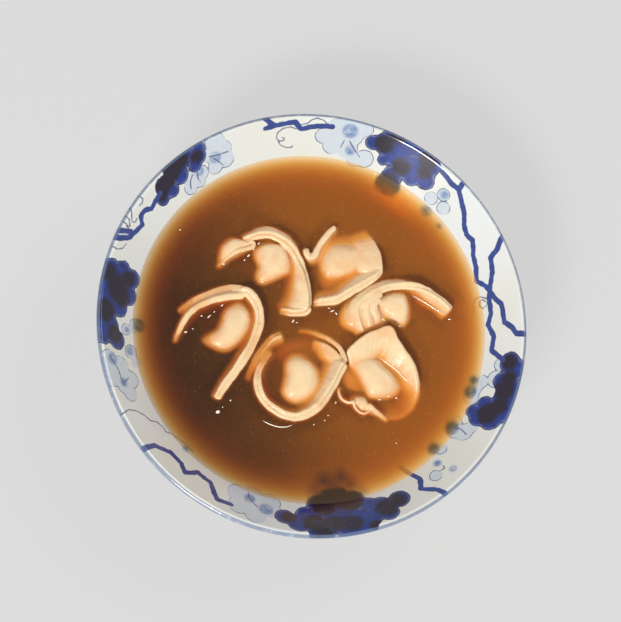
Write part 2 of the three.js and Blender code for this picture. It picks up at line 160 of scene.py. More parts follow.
TORTELLINI = {
    "tortellino_1": [
        strip(
            [
                (-24.5, 29.8, 0.8), (-20.3, 31.2, 1.9), (-16.3, 31.9, 2.2), (-12.3, 31.1, 2.3),
                (-8.7, 28.6, 2.4), (-5.6, 24.6, 2.4), (-3.3, 19.4, 2.4), (-1.8, 14, 2.4), (-1.2, 9.5, 2.3),
                (-1.6, 5, 1.9),
            ],
            RIGHT,
            [
                (2.6, -1, 3, 2, 5), (3.2, -2.6, 3, 4, 6), (3.3, -1.2, 3.2, 3, 6), (3.3, 4, 4, 3, 5),
                (3.2, 6.8, 3.2, 4, 4),
            ],
        ),
        strip(
            [(-0.9, 6.6, 2.1), (-2.4, 4.6, 2), (-5.4, 4.1, 1.5), (-8.6, 4.6, 0.5), (-11.4, 5.2, -1.3)],
            RIGHT,
            [(3, 1.5, 3, 2, 4), (3, 2, 3, 2, 4), (2.6, 1, 3, 2, 3)],
        ),
        strip(
            [
                (-33.6, 20, -1.8), (-31.2, 22.2, 0.2), (-28.4, 24.4, 1.5), (-25.4, 25.8, 2),
                (-22.8, 26.7, 2.1), (-21, 27.5, 2.1), (-20.8, 28.7, 2.1), (-22.2, 29.7, 2),
            ],
            LEFT,
            [(1.2, 0.3, 2, 0.5, 3), (1.5, 0.3, 2, 0.5, 3), (1.4, 0.2, 2, 0.5, 3)],
        ),
        mound(
            [
                (-17.8, 30, -12.6, 31, 0.6), (-19.9, 26.8, -9, 28.4, 2.1), (-19.1, 23.4, -7.5, 23.8, 2.5),
                (-18.2, 20.8, -8, 19.6, 2.4), (-19.6, 17.8, -11.6, 16.8, 1.7), (-20.6, 14.6, -17, 13.4, 0.2),
            ],
        ),
        mound(
            [
                (-33.6, 19.4, -31.4, 19.8, -1.5), (-33, 24, -28.8, 22.8, 1), (-31.6, 27.8, -26.2, 24.6, 1.8),
                (-28.6, 30.4, -24, 26, 2), (-24.6, 30.4, -21.8, 27.2, 2), (-21.6, 29.4, -20.6, 28.2, 1.6),
            ],
            -4,
        ),
        bulge([(-32, 24), (-18, 24), (-5, 15)], 9, -8, -16),
    ],
    "tortellino_2": [
        strip(
            [
                (0.2, 8.2, -0.9), (2.4, 8.4, 0.6), (5, 8.6, 1.3), (8.7, 9.2, 2), (12.6, 11.5, 2.4),
                (16.6, 13.9, 2.6), (20.6, 16.5, 2.6), (23.3, 18.4, 2.4), (24.4, 20.2, 2),
            ],
            LEFT,
            [(2.8, 0, 0, 1, 5), (3.6, 0, 0, 1, 5), (3.6, 0, 0, 1, 5), (2.6, 0, 0, 1, 4)],
            [
                (1.4, 11, -4.4), (2.6, 11.2, -4.2), (5, 11.5, -3.9), (8, 12.4, -3.6), (11, 14.8, -3.2),
                (14.2, 17.2, -2.8), (16.8, 19.4, -2.6), (18.6, 21.2, -2.4), (19.4, 22.4, -2.3),
            ],
        ),
        strip(
            [
                (24.7, 18.9, 1.8), (24.8, 21.5, 2), (24.5, 25.8, 1.5), (23.3, 29.7, 0.7), (21.6, 32.8, -0.6),
                (19.2, 35.8, -2.8),
            ],
            LEFT,
            [(1.5, 0, 0, 1, 5), (1.6, 0, 0, 1, 5), (1.4, 0, 0, 1, 4)],
            [
                (17.4, 19.8, -1), (16.4, 22.6, 0.3), (15.8, 26, 0.6), (15.4, 28.8, 0.1), (15, 31.2, -1.4),
                (14.2, 33.2, -3.6),
            ],
        ),
        strip(
            [
                (8.6, 36.3, 1.3), (6.2, 34, 1.8), (3.9, 31, 1.9), (2, 28, 1.9), (0.8, 25.5, 1.7),
                (-0.7, 24.8, 1.4), (-1.9, 26.2, 1.4), (-2.2, 28, 0.9),
            ],
            LEFT,
            [(1.9, 0.5, 3, 1, 4), (2.5, 1.6, 3.4, 2, 5), (2.2, 0.2, 3, 0.5, 3)],
        ),
        mound(
            [
                (3.4, 17.6, 6.8, 16.2, 0.3), (3.4, 21, 12.6, 18.6, 2), (4, 24.6, 17.6, 22.4, 2.4),
                (4.9, 28, 20, 26.4, 1.8), (6.4, 31.2, 20.4, 30.8, -0.4), (8, 33.6, 19.4, 34, -3),
            ],
        ),
        mound(
            [
                (2.6, 13.4, 8.4, 12.2, -2.8), (1.8, 19, 14, 17.6, -1.9), (2, 24, 18.6, 22, -1.3),
                (3.6, 29, 21, 26.6, -1.6), (6, 34.4, 20, 33.4, -4),
            ],
            -12,
        ),
        bulge([(1, 27), (12, 22.5), (23, 22)], 9.5, -3.8, -16),
    ],
    "tortellino_3": [
        strip(
            [
                (18.8, -1.6, 0.4), (17.6, 1.2, 1.6), (16.5, 4.4, 2.3), (16.8, 7.2, 2.6), (18.9, 9.9, 2.6),
                (22.7, 12.4, 2.5), (27.7, 14.3, 2.4), (32.7, 15.1, 2.4), (37.7, 14.8, 2.5),
                (41.8, 13.5, 2.5), (45.9, 11, 2.4), (50.2, 7.3, 2.2),
            ],
            RIGHT,
            [
                (1.6, -2.6, 3.2, 2, 5), (2, -3.2, 3.2, 4, 6), (3, -2.4, 3, 4, 6), (3, -2.2, 3.2, 4, 6),
                (2.8, 1.6, 3.2, 3, 4), (2.4, 2.4, 3, 2, 3),
            ],
        ),
        strip(
            [
                (21.4, 0, 0.4), (20.4, 2.6, 1.8), (19.3, 5.6, 2.5), (19.8, 8.6, 2.7), (22.3, 10.9, 2.5),
                (25, 12.2, 2.3),
            ],
            RIGHT,
            [(2.3, -0.4, 3, 0.5, 5), (2.5, -0.6, 3, 0.5, 5)],
        ),
        strip(
            [(24.4, 1.2, 0.2), (23.6, 3.4, 1.6), (22.3, 5.8, 2.3), (22.4, 8.2, 2.4), (24.6, 10, 2.2)],
            RIGHT,
            [(2.3, -0.5, 3, 0.5, 5), (2.5, -0.6, 3, 0.5, 5)],
        ),
        mound(
            [
                (22, 10.2, 22.8, 6.8, 1.3), (26, 12, 26, 4.6, 2.4), (30, 13.2, 29.6, 2.6, 2.7),
                (33.2, 13, 33, 1.6, 2.5), (35.4, 10.6, 35.6, 2.6, 1.3),
            ],
        ),
        mound(
            [
                (17.4, 13, 22, 12, 0.6), (13.6, 9.4, 24.4, 8.8, 1.9), (11.6, 5, 25.8, 5.6, 2),
                (12, 0.8, 26.2, 2.2, 1.4), (15.4, -2.6, 24, -0.8, -0.2),
            ],
            -12,
        ),
        bulge([(13, 4.5), (27, 8.5), (41, 10.5)], 7.5, -6.5, -15),
    ],
    "tortellino_4": [
        strip(
            [
                (-23.8, 9.7, 1.8), (-28.3, 9.1, 2.1), (-32.3, 8.2, 2.1), (-36.3, 7, 2.1), (-40.2, 5, 2),
                (-43.2, 2, 1.7), (-45.4, -1.4, 1), (-46.9, -4.8, -0.4), (-47.8, -7.4, -2.4),
            ],
            LEFT,
            [(2.4, -1, 3.4, 3, 6), (2.3, -1.2, 3.4, 3.4, 6), (2.1, -0.8, 3.2, 3, 5), (1.6, 0, 1.6, 1, 2.4)],
        ),
        strip(
            [
                (-22.6, 12.4, 0.9), (-25.6, 13.5, 0.5), (-29.4, 13.5, 0.1), (-34.2, 12.1, -0.1),
                (-39.1, 9.9, -0.2), (-43.8, 7.2, -0.5), (-47.2, 4, -1.6),
            ],
            LEFT,
            [(1.4, 3, -0.5, 1, 3), (1.4, 3.4, -0.2, 1, 3), (1.3, 2.8, 0, 1, 3), (1, 0.8, 0.8, 0.8, 2)],
        ),
        strip(
            [
                (-25.6, 11, 1.3), (-23.2, 11, 2.2), (-20.9, 8.9, 2.4), (-19.2, 6, 2.5), (-18.6, 2.5, 2.5),
                (-18.9, -1.5, 2.5), (-20.3, -6, 2.4), (-22.6, -10.5, 2.3), (-25.3, -15, 2.1),
                (-28.1, -19, 1.9), (-30.7, -23, 1.7), (-33.1, -27, 1.4),
            ],
            RIGHT,
            [(3.6, -0.6, 3, 3, 5), (3.3, 0, 3, 3, 6), (3.4, 0.6, 3, 2, 4), (3, 0.8, 2.5, 0.8, 2.5)],
        ),
        mound(
            [
                (-28, 8.2, -23.2, 8.4, 0.4), (-30.2, 4.6, -21.2, 3.4, 2), (-31.2, 0.8, -21.6, -0.6, 2.4),
                (-32.8, -2.2, -25.2, -6, 2.2), (-35.4, -3.8, -30.4, -9.8, 1.6), (-39.4, -5, -36.4, -9, -0.3),
            ],
            -12,
        ),
        bulge([(-41, 3), (-29, 2.5), (-19.5, -4)], 8, -8, -15),
    ],
    "tortellino_5": [
        strip(
            [
                (-14.3, -9, -1.3), (-16.6, -12.5, -0.5), (-18.3, -16, 0.4), (-19, -19.4, 1),
                (-18.8, -22.8, 1.5), (-17, -26.5, 1.8), (-13.6, -29.9, 2), (-9.4, -32.1, 2.1),
                (-5, -32.7, 2.1), (-0.6, -31, 2.2), (3.3, -27.6, 2.3), (6.6, -22.8, 2.4), (9.5, -17.4, 2.4),
                (11.7, -13.2, 2.1),
            ],
            LEFT,
            [
                (2.2, 0.5, 2.5, 1.5, 3.5), (2.6, 0, 3, 3, 5), (3.1, 0.4, 3, 4, 6), (3.5, 1.8, 3, 4, 5),
                (3.7, 3.4, 3, 3, 4),
            ],
        ),
        strip(
            [
                (-10.4, -3, -0.4), (-13.6, -4.6, -0.3), (-16.6, -7.6, -0.6), (-19.2, -11.6, -0.9),
                (-21.2, -15.6, -1.6), (-22.6, -20, -3),
            ],
            LEFT,
            [(3, 1.6, 1.6, 1, 3), (2.4, 0.8, 2, 1.6, 3), (2, 0.8, 2, 2, 3)],
        ),
        strip(
            [
                (11.7, -13.2, 1.8), (11.2, -10.2, 1.1), (9.4, -7, 0.5), (6.4, -4.7, -0.1), (2.6, -3, -0.9),
                (-1, -1.8, -1.7), (-5, -1.6, -2.8),
            ],
            LEFT,
            [(1.8, 0.2, 3, 1, 3), (1.7, 0.2, 3, 1.5, 4), (1.5, 0.2, 3, 1, 3)],
        ),
        strip(
            [(10.4, -12.4, 1), (8.6, -9.2, 0.7), (6, -7, 0.4), (3, -5.8, -0.4), (0.4, -5.4, -1.9)],
            LEFT,
            [(1.5, 3.2, 1.5, 2, 6), (1.5, 4.2, 1.5, 2, 6), (1.5, 2.4, 2.4, 2, 5)],
        ),
        mound(
            [
                (-8.4, -9.8, -2.8, -9.6, 0.3), (-9, -13.4, 0.4, -13.2, 2), (-8.5, -17.2, 2.3, -17, 2.4),
                (-9.2, -20.8, 2.2, -20.8, 2.4), (-10.1, -24.2, 0.4, -24.6, 2), (-9, -27.8, -3, -28.6, 0.2),
            ],
        ),
        mound(
            [
                (-11, -4.6, 0, -3.4, -4.4), (-12.6, -8, 4, -5.8, -3.7), (-12.6, -11, 7, -10, -4),
                (-10, -14, 7, -15, -5),
            ],
            -12,
        ),
        bulge([(-14, -17), (-4, -18), (8, -14)], 11, -7, -16),
    ],
    "tortellino_6": [
        strip(
            [
                (12.2, -9.5, 1.8), (14.6, -6.6, 2.1), (18, -3.9, 2.4), (22.3, -1.6, 2.6), (27.4, 0, 2.6),
                (30.4, -4.6, 2.6), (33.1, -8.7, 2.5), (35.5, -12.6, 2.3), (37, -16.4, 1.9), (37.7, -20.2, 1),
                (37.5, -24, -1.2), (36, -27.8, -2.5), (33, -30.8, -3), (29.6, -32, -3.2),
                (26.6, -31.8, -3.2),
            ],
            RIGHT,
            [(2, 0, 0, 1, 5), (2.2, 0, 0, 1, 5), (2, 0, 0, 1, 3)],
            [
                (13.6, -13, -0.8), (15.8, -12.6, -0.4), (18.6, -12, -0.2), (21.2, -11.8, -0.8),
                (24, -12.4, -2.2), (26, -13.8, -3), (27.8, -15.2, -3.3), (29.8, -16.8, -3.5),
                (31.6, -18.8, -3.9), (32.4, -20.8, -4.6), (32, -23, -5.4), (31, -25.4, -6),
                (29.6, -27, -6.2), (28.4, -28, -6.2), (26.8, -28.6, -6),
            ],
        ),
        strip(
            [(9.6, -21.4, -0.2), (9.5, -23.8, 1.2), (10.4, -26, 1.6), (12.6, -27.2, 1.7), (15, -26.8, 1.8)],
            LEFT,
            [(1, 0.4, 2.5, 1, 4), (1.1, 0.4, 2.5, 1, 4)],
        ),
        strip(
            [
                (14.8, -26.4, 1.7), (15, -28.4, 1.4), (16.4, -30.2, 1.2), (18.4, -30.9, 1.3), (20, -30, 1.6),
                (20.4, -28.4, 1.8),
            ],
            LEFT,
            [(0.9, 0.2, 2, 0.4, 3), (0.9, 0.2, 2, 0.4, 3)],
        ),
        strip(
            [(19.6, -27.4, 2), (21.6, -29.3, 1.8), (24.2, -31.1, 0.9), (27, -33, -0.8)],
            LEFT,
            [(1.6, -0.2, 3, 2, 4), (1.8, -0.5, 3, 2, 4), (1.4, 0.2, 2.5, 1, 3)],
        ),
        mound(
            [
                (12.6, -12, 13, -14.6, 0.2), (18.4, -9.8, 15.8, -16.6, 1.6), (22.6, -11, 18.2, -20, 2.3),
                (26, -14.2, 20.8, -24.2, 2.6), (29.6, -17.2, 24.8, -25, 2.4), (33, -20, 29.6, -25.2, 0.9),
            ],
        ),
        mound(
            [
                (13, -24.8, 13.4, -26.4, 0.4), (16, -24.4, 15.4, -28, 1.5), (18.6, -25, 17.2, -29.8, 1.9),
                (20.2, -27.2, 19.4, -30.2, 1.6), (23, -29.4, 22.2, -31, 0.7), (27, -32.4, 26.6, -33.2, -0.8),
            ],
            -5,
        ),
        mound(
            [(11, -13.5, 16, -17, -1.4), (10.4, -18, 18.6, -20, -1.8), (11.5, -22.4, 20, -23.6, -2.2)],
            -10,
        ),
        bulge([(13, -17), (22, -20), (32, -22)], 10.5, -7, -15.5),
    ],
}

# The painted vine: places are (degrees round the bowl from +X, share of the wall from the broth to the rim).
# A lobe or a grape adds its radius in millimetres.
BRANCHES = [
    [
        (-9.5, 0.5), (-6.5, 0.2), (-2, 0.24), (2, 0.11), (5.5, 0.2), (10, 0.22), (12.5, 0.265), (14.5, 0.2),
        (17, 0.03), (21, 0.13), (25, 0.19), (29.3, 0.34), (32, 0.29), (35, 0.38), (37.5, 0.53), (40.5, 0.65),
        (43.5, 0.78), (46.5, 0.77), (49.5, 0.81), (52.5, 0.87),
    ],
    [(44.3, 1.02), (44, 0.9), (43.5, 0.78)],
    [(-2.2, 1.02), (-1.8, 0.78), (0.2, 0.68), (2, 0.5), (7.7, 0.48), (9.6, 0.36), (12.5, 0.265)],
    [(12.5, 0.265), (18, 0.46), (22, 0.53), (23.3, 0.75), (26.3, 1.02)],
    [(85, 0.76), (89.5, 0.74), (94, 0.66), (95.8, 0.83), (101, 0.79), (104.4, 0.76)],
    [(101.5, 0.79), (103, 0.87), (104.3, 1.0)],
    [
        (141, 0.64), (146, 0.56), (148, 0.68), (149.8, 0.68), (151.5, 0.52), (156.8, 0.65), (158.8, 0.9),
        (159.2, 1.02),
    ],
    [(155.3, 0.7), (157.2, 1.0)],
    [
        (218.3, 1.02), (219.3, 0.66), (223.5, 0.42), (228, 0.43), (230.5, 0.57), (233.3, 0.3), (238, 0.34),
        (242, 0.69), (246, 0.63),
    ],
    [(307, 1.02), (306.3, 0.8), (303, 0.5), (305, 0.26), (303.6, -0.1), (303, -0.3)],
]

TENDRILS = [
    [(86.3, 0.78), (87.6, 0.88), (89.5, 0.92), (91, 0.88), (92.2, 0.79), (94, 0.76)],
    [
        (95.2, 0.66), (97, 0.72), (99.2, 0.7), (100.9, 0.62), (101.4, 0.5), (100.6, 0.42), (99.3, 0.41),
        (98.9, 0.47), (99.7, 0.5),
    ],
    [(100.9, 0.42), (100.3, 0.32), (98.6, 0.25), (96.6, 0.24), (96.4, 0.28)],
    [(9.6, 0.18), (8.2, 0.12), (7.6, 0.03), (8.6, -0.04), (10.1, -0.02), (10.6, 0.06), (9.6, 0.12)],
    [(10.5, 0.16), (11.6, 0.03), (11.4, -0.1), (9.6, -0.2), (7, -0.2)],
    [(146.2, 1.0), (145.9, 0.9), (146.8, 0.83), (148, 0.86)],
    [(149.8, 0.99), (151.6, 0.88), (152.9, 0.79), (152.3, 0.71), (151.2, 0.73)],
    [(152.6, 1.0), (152.9, 0.88), (154.3, 0.78), (155, 0.86)],
    [(154.2, 1.0), (154.5, 0.86), (155.6, 0.74)],
    [(158.9, 0.66), (160.8, 0.72), (161.8, 0.85), (161.6, 1.0)],
    [
        (207.8, 0.98), (207.3, 0.75), (208.4, 0.55), (210.4, 0.4), (212.6, 0.32), (213.6, 0.18), (216, 0.1),
        (217.6, 0.12), (219.4, 0.0), (224, -0.1), (228, -0.1),
    ],
    [(116.6, 0.5), (119.6, 0.52), (122.6, 0.58)],
    [(119.4, 0.24), (120.6, 0.4), (121.6, 0.5)],
    [(128.4, 0.16), (128.6, 0.3), (127.9, 0.4)],
    [(132.2, 0.18), (131.4, 0.32), (129.6, 0.44)],
    [(79, 0.5), (77, 0.34), (74.5, 0.2)],
    [(80.6, 0.5), (81.2, 0.32)],
    [(191.5, 0.78), (195.8, 0.62), (200.4, 0.6)],
    [(198.4, 0.4), (199.6, 0.56)],
    [(249.6, 0.06), (250.6, 0.24), (253.4, 0.4)],
    [(325, 0.32), (326, 0.12), (325.4, -0.06)],
    [(310.6, 0.42), (312.4, 0.46), (312.9, 0.38)],
]

DARK_LEAVES = {
    "lobes": [
        (55, 0.74, 4.6), (52.9, 0.42, 3.5), (57, 0.3, 3.3), (60.5, 0.42, 4.4), (62.6, 0.1, 3.8),
        (62.4, -0.16, 5.4), (63.5, 0.78, 4.2), (68.6, 0.7, 4.4), (72.2, 0.62, 2.8), (67.4, 0.34, 2.2),
        (60, 0.92, 3.4), (67.5, 0.93, 3.4), (125.8, 0.74, 3.2), (127.6, 0.6, 2.7), (124.6, 0.9, 2.3),
        (133.2, 0.84, 4.7), (138.6, 0.68, 3.9), (141.3, 0.48, 2.7), (137.4, 0.45, 2.6), (133, 0.58, 3),
        (130.4, 0.92, 3), (128.6, 0.96, 2.6), (168, 0.82, 4.2), (166.6, 0.52, 3.7), (167.6, 0.21, 3.7),
        (172.8, 0.21, 3.8), (172, 0.55, 4.8), (177, 0.7, 4.8), (177.4, 0.4, 3.2), (183.4, 0.72, 4.7),
        (187, 0.5, 3.5), (180, 0.93, 4), (172.4, 0.95, 4), (186.4, 0.86, 2.6), (261.5, 0.5, 3.5),
        (266, 0.62, 4.5), (267.8, 0.34, 3.5), (271.6, 0.85, 4.4), (276, 0.65, 4.8), (276, 0.3, 4.8),
        (272.6, 0.04, 5), (283, 0.04, 5), (277.6, -0.14, 6.2), (284, 0.55, 3.8), (290, 0.44, 4.6),
        (291.2, 0.7, 3.4), (296, 0.45, 3.9), (284.4, 0.9, 2.8), (279, 0.95, 3.2), (287, 0.26, 3.2),
        (332.6, 0.64, 4.8), (331.4, 0.34, 3.5), (333, 0.15, 2.7), (336, 0.36, 3.3), (338.2, 0.75, 4.6),
        (343.2, 0.72, 4.4), (344, 0.56, 3.2), (349.6, 0.68, 4), (341.4, 0.92, 3.4), (347.8, 0.9, 3.2),
        (335, 0.93, 3.2), (270.4, 0.4, 3), (281, 0.48, 4), (286, 0.74, 3.2), (281.8, 0.86, 2.6),
        (288, 0.62, 3.2), (280, 0.26, 3.6), (58.6, 0.56, 3.6), (65, 0.52, 3.6),
    ],
    "cores": [
        (55.6, 0.84, 2.9), (61.5, 0.38, 2.8), (69, 0.7, 3), (63, -0.12, 3.9), (66.4, 0.96, 2.2),
        (54.6, 0.56, 2), (126.2, 0.75, 2), (134.3, 0.86, 3.5), (139.5, 0.68, 2.7), (130.6, 0.88, 2.4),
        (141, 0.54, 1.6), (137, 0.74, 3), (171.5, 0.56, 4.1), (168, 0.3, 2.6), (174, 0.38, 3.2),
        (179, 0.8, 3.4), (185.4, 0.56, 2.8), (168.6, 0.84, 2.6), (262.6, 0.5, 2.1), (270, 0.62, 3.6),
        (276, 0.66, 3.2), (280.4, 0.7, 3.2), (273.6, 0.1, 4.2), (282, 0.05, 4.4), (291.6, 0.52, 3.6),
        (295.6, 0.45, 2.6), (272, 0.92, 2.6), (286.4, 0.92, 1.8), (278, -0.16, 5), (333.4, 0.52, 3.6),
        (341.5, 0.68, 3.6), (349.9, 0.68, 2.5), (336.5, 0.72, 2.6), (345, 0.72, 2.4),
    ],
}

# Lobes so deep under the broth that they only darken it
SUNK_LOBES = [
    (271.5, -0.3, 5), (277.5, -0.4, 5.6), (283.5, -0.36, 5), (286.5, -0.1, 4), (62.4, -0.3, 4),
    (274.5, -0.55, 5), (281, -0.6, 4.6),
]

LIGHT_LEAVES = {
    "lobes": [
        (76, 0.86, 3.2), (81, 0.86, 3.6), (79, 0.65, 4.4), (84, 0.7, 3.8), (87.2, 0.52, 2.9),
        (84, 0.34, 3.6), (79, 0.3, 3.8), (73, 0.2, 3.4), (76, 0.12, 2.8), (119.6, 0.84, 3.5),
        (118, 0.6, 3.3), (118.2, 0.37, 3.4), (122, 0.3, 2.8), (121.4, 0.6, 3.5), (127, 0.35, 3),
        (128.5, 0.21, 2.5), (132, 0.21, 2.7), (131, 0.4, 2.9), (193, 0.82, 3.7), (197.6, 0.85, 3.3),
        (195, 0.55, 3.9), (200, 0.55, 3.9), (203, 0.5, 2.9), (199, 0.34, 3.3), (183.4, 0.22, 2.1),
        (190.4, 0.15, 2.7), (193.6, 0.05, 2.3), (182, -0.06, 3.1), (248, 0.56, 3.8), (253.4, 0.66, 3.8),
        (246.6, 0.2, 3.9), (251.5, 0.08, 3.6), (257, 0.14, 3.8), (258, 0.42, 3.6), (253, 0.4, 4.2),
        (309, 0.45, 2.3), (317, 0.02, 2.4), (325.4, 0.22, 3.5), (328, 0.32, 2.6), (324.4, 0.02, 2.9),
        (327, -0.12, 3.2), (337.5, -0.03, 3.1), (343, 0.1, 2.7), (340.4, -0.02, 3), (344.4, 0.42, 3.2),
        (349, 0.46, 2.4), (43, 0.24, 2.5), (48, 0.2, 2.5), (45.8, 0.46, 2.3),
    ],
    "patches": [
        (79.6, 0.73, 3.1), (78, 0.3, 2.3), (121, 0.5, 2.5), (127.3, 0.42, 2.3), (192.5, 0.72, 2.4),
        (199.5, 0.57, 2), (183.5, 0.2, 1.5), (190, 0.17, 2.1), (181.4, -0.14, 3), (250.6, 0.22, 2.4),
        (256, 0.4, 3), (313.8, 0.62, 1.7), (312.4, 0.23, 1.9), (315.5, -0.12, 2.7), (325, -0.09, 3.2),
        (339, -0.09, 3), (45.7, 0.47, 2), (46.4, -0.1, 2.4), (39.6, -0.13, 1.1), (343, -0.1, 2.2),
        (225.6, 0.0, 1.6),
    ],
}


# Settings that a user may change


def a_colour(name, description, default):
    return bpy.props.FloatVectorProperty(name=name, description=description, subtype="COLOR", default=default)


def a_length(name, description, default):
    return bpy.props.FloatProperty(name=name, description=description, unit="LENGTH", default=default)


def a_number(name, description, default, **facts):
    return bpy.props.FloatProperty(name=name, description=description, default=default, **facts)


class BowlSettings(bpy.types.PropertyGroup):
    glaze: a_colour("Glaze", "Colour of the white glaze", (0.73, 0.765, 0.77))
    cobalt: a_colour("Cobalt", "Colour of the painted leaves", srgb(36, 62, 150))
    ink: a_colour("Ink", "Colour of the darkest paint", srgb(34, 26, 44))
    wash: a_colour("Wash", "Colour of the thin pale paint", srgb(190, 204, 218))
    outer_facets: bpy.props.IntProperty(
        name="Outer facets", description="Columns round the bowl's outside", default=PLAIN_COLUMNS, min=48
    )


class BrothSettings(bpy.types.PropertyGroup):
    level: a_length("Level", "Height of the broth over the table", BROTH_LEVEL)
    creep: a_length("Creep", "How far the broth creeps up what it wets", 0.3 * MM)
    reach: a_length("Reach", "How far from a wet edge the broth's surface bends", 0.7 * MM)
    stain: a_colour("Stain", "Colour that the broth keeps in shallow places", (0.95, 0.615, 0.0))
    density: a_number("Density", "How fast the broth darkens with depth, for each metre", 450.0)
    murk: a_colour("Murk", "Colour of what floats in the broth", (0.60, 0.168, 0.008))
    # Painted shade: the murk's colour on the bowl's darker lower left side
    shaded_murk: a_colour("Dark murk", "Colour of the murk on the bowl's darker side", (0.055, 0.021, 0.001))
    thin_murk: a_colour("Thin murk", "Colour of the murk over a shallow place", (0.82, 0.4, 0.06))
    cloudiness: a_number("Cloudiness", "Share of light that the floating murk sends back", 0.4, min=0, max=1)
    haze: a_number("Haze", "How much the broth blurs what lies in it", 0.6, min=0, max=1)


class GlintSettings(bpy.types.PropertyGroup):
    # Painted highlight: the drops' pale colour stands in for the broth's glints
    colour: a_colour("Colour", "Colour of the drops of fat", (0.95, 0.88, 0.76))
    thickness: a_length("Thickness", "Half the height of a drop", 0.22 * MM)
    above: a_length("Above", "How far the drops float over the broth's level", 0.12 * MM)
    line_width: a_length("Line width", "Width of the bright lines", 0.42 * MM)


class PastaSettings(bpy.types.PropertyGroup):
    dough: a_colour("Dough", "Colour of the cooked dough", (0.81, 0.64, 0.40))
    cut_edge: a_colour("Cut edge", "Colour of the dough's cut edge", (0.74, 0.45, 0.21))
    fineness: a_length("Fineness", "Size of the facets that join the dough", 0.27 * MM)


class StageSettings(bpy.types.PropertyGroup):
    window_power: a_number("Window", "Power of the window light", 50.0, unit="POWER")
    fill_power: a_number("Fill", "Power of the light from the other side", 16.0, unit="POWER")
    sky: a_number("Sky", "Strength of the light from all sides", 0.46)
    table: a_colour("Table", "Colour of the floor", (0.15, 0.15, 0.152))
    glow: a_number("Glow", "Light that the floor gives of its own", 0.525)


# Small tools for modelling


def deselect_all():
    if bpy.context.mode != "OBJECT":
        bpy.ops.object.mode_set(mode="OBJECT")
    bpy.ops.object.select_all(action="DESELECT")


def pick(*objects):
    deselect_all()
    for thing in objects:
        thing.select_set(True)
    bpy.context.view_layer.objects.active = objects[0]


@contextmanager
def editing(thing, action="SELECT"):
    """Edit mode on one object, with all of it selected, or none."""
    pick(thing)
    bpy.ops.object.mode_set(mode="EDIT")
    bpy.ops.mesh.select_all(action=action)
    yield
    bpy.ops.object.mode_set(mode="OBJECT")


def join(name, objects):
    pick(*objects)
    if len(objects) > 1:
        bpy.ops.object.join()
    objects[0].name = name
    return objects[0]


def apply_modifier(thing, kind, **settings):
    pick(thing)
    modifier = thing.modifiers.new(kind.title(), kind)
    for key, value in settings.items():
        setattr(modifier, key, value)
    bpy.ops.object.modifier_apply(modifier=modifier.name)


def places(thing):
    flat = np.empty(len(thing.data.vertices) * 3)
    thing.data.vertices.foreach_get("co", flat)
    return flat.reshape(-1, 3)


def set_places(thing, corners):
    thing.data.vertices.foreach_set("co", np.asarray(corners, dtype=np.float32).ravel())
    thing.data.update()


def edge_ends(thing):
    ends = np.empty(len(thing.data.edges) * 2, np.int32)
    thing.data.edges.foreach_get("vertices", ends)
    return ends.reshape(-1, 2)


def tree_of(points):
    tree = KDTree(len(points))
    for i, point in enumerate(points):
        tree.insert(point, i)
    tree.balance()
    return tree


def set_attribute(thing, name, values):
    kind = "FLOAT_VECTOR" if values.ndim == 2 else "FLOAT"
    attribute = thing.data.attributes.new(name, kind, "POINT")
    attribute.data.foreach_set("vector" if values.ndim == 2 else "value", values.astype(np.float32).ravel())


def smooth_line(points, where):
    """Points on a smooth line through the given ones, where counts them from 0 and may fall between."""
    points = np.asarray(points, float)
    ends = [2 * points[0] - points[1], *points, 2 * points[-1] - points[-2]]
    out = []
    for t in where:
        i = min(int(t), len(points) - 2)
        share = t - i
        p0, p1, p2, p3 = ends[i : i + 4]
        gaps = [max(np.linalg.norm(b - a), 1e-6) ** 0.5 for a, b in ((p0, p1), (p1, p2), (p2, p3))]
        first = (p1 - p0) / gaps[0] - (p2 - p0) / (gaps[0] + gaps[1]) + (p2 - p1) / gaps[1]
        second = (p2 - p1) / gaps[1] - (p3 - p1) / (gaps[1] + gaps[2]) + (p3 - p2) / gaps[2]
        first, second = first * gaps[1], second * gaps[1]
        c2 = 3 * (p2 - p1) - 2 * first - second
        c3 = 2 * (p1 - p2) + first + second
        out.append(p1 + first * share + c2 * share**2 + c3 * share**3)
    return np.array(out)


def directions(line):
    way = np.gradient(line, axis=0)
    return way / np.maximum(np.linalg.norm(way, axis=1, keepdims=True), 1e-9)


def calmed(rows, span):
    """Each column's running mean over a span of rows."""
    padded = np.pad(rows, ((span // 2, span // 2), (0, 0)), mode="edge")
    window = np.ones(span) / span
    return np.stack([np.convolve(padded[:, k], window, mode="valid") for k in range(rows.shape[1])], axis=1)


def wander(along, rng, size):
    """A slow random curve between about -1 and 1 along a length, whose waves are about as long as size."""
    total = np.zeros_like(along)
    for share, scale in ((0.6, 1.0), (0.3, 0.45), (0.15, 0.2)):
        total += share * np.sin(2 * math.pi * along / (size * scale) + rng.uniform(0, 2 * math.pi))
    return total


def rolled_sheet(name, sections):
    """A grid rolled into a closed body: sections is rows x columns of places in metres."""
    rows, columns = sections.shape[:2]
    deselect_all()
    bpy.ops.mesh.primitive_grid_add(x_subdivisions=columns, y_subdivisions=rows - 1, size=2)
    sheet = bpy.context.object
    sheet.name = name
    flat = places(sheet)
    column = np.rint((flat[:, 0] + 1) / 2 * columns).astype(int) % columns
    row = np.rint((flat[:, 1] + 1) / 2 * (rows - 1)).astype(int)
    set_places(sheet, sections[row, column])
    with editing(sheet):
        bpy.ops.mesh.remove_doubles(threshold=1e-6)
        bpy.ops.mesh.fill_holes(sides=0)
        bpy.ops.mesh.normals_make_consistent(inside=False)
    return sheet


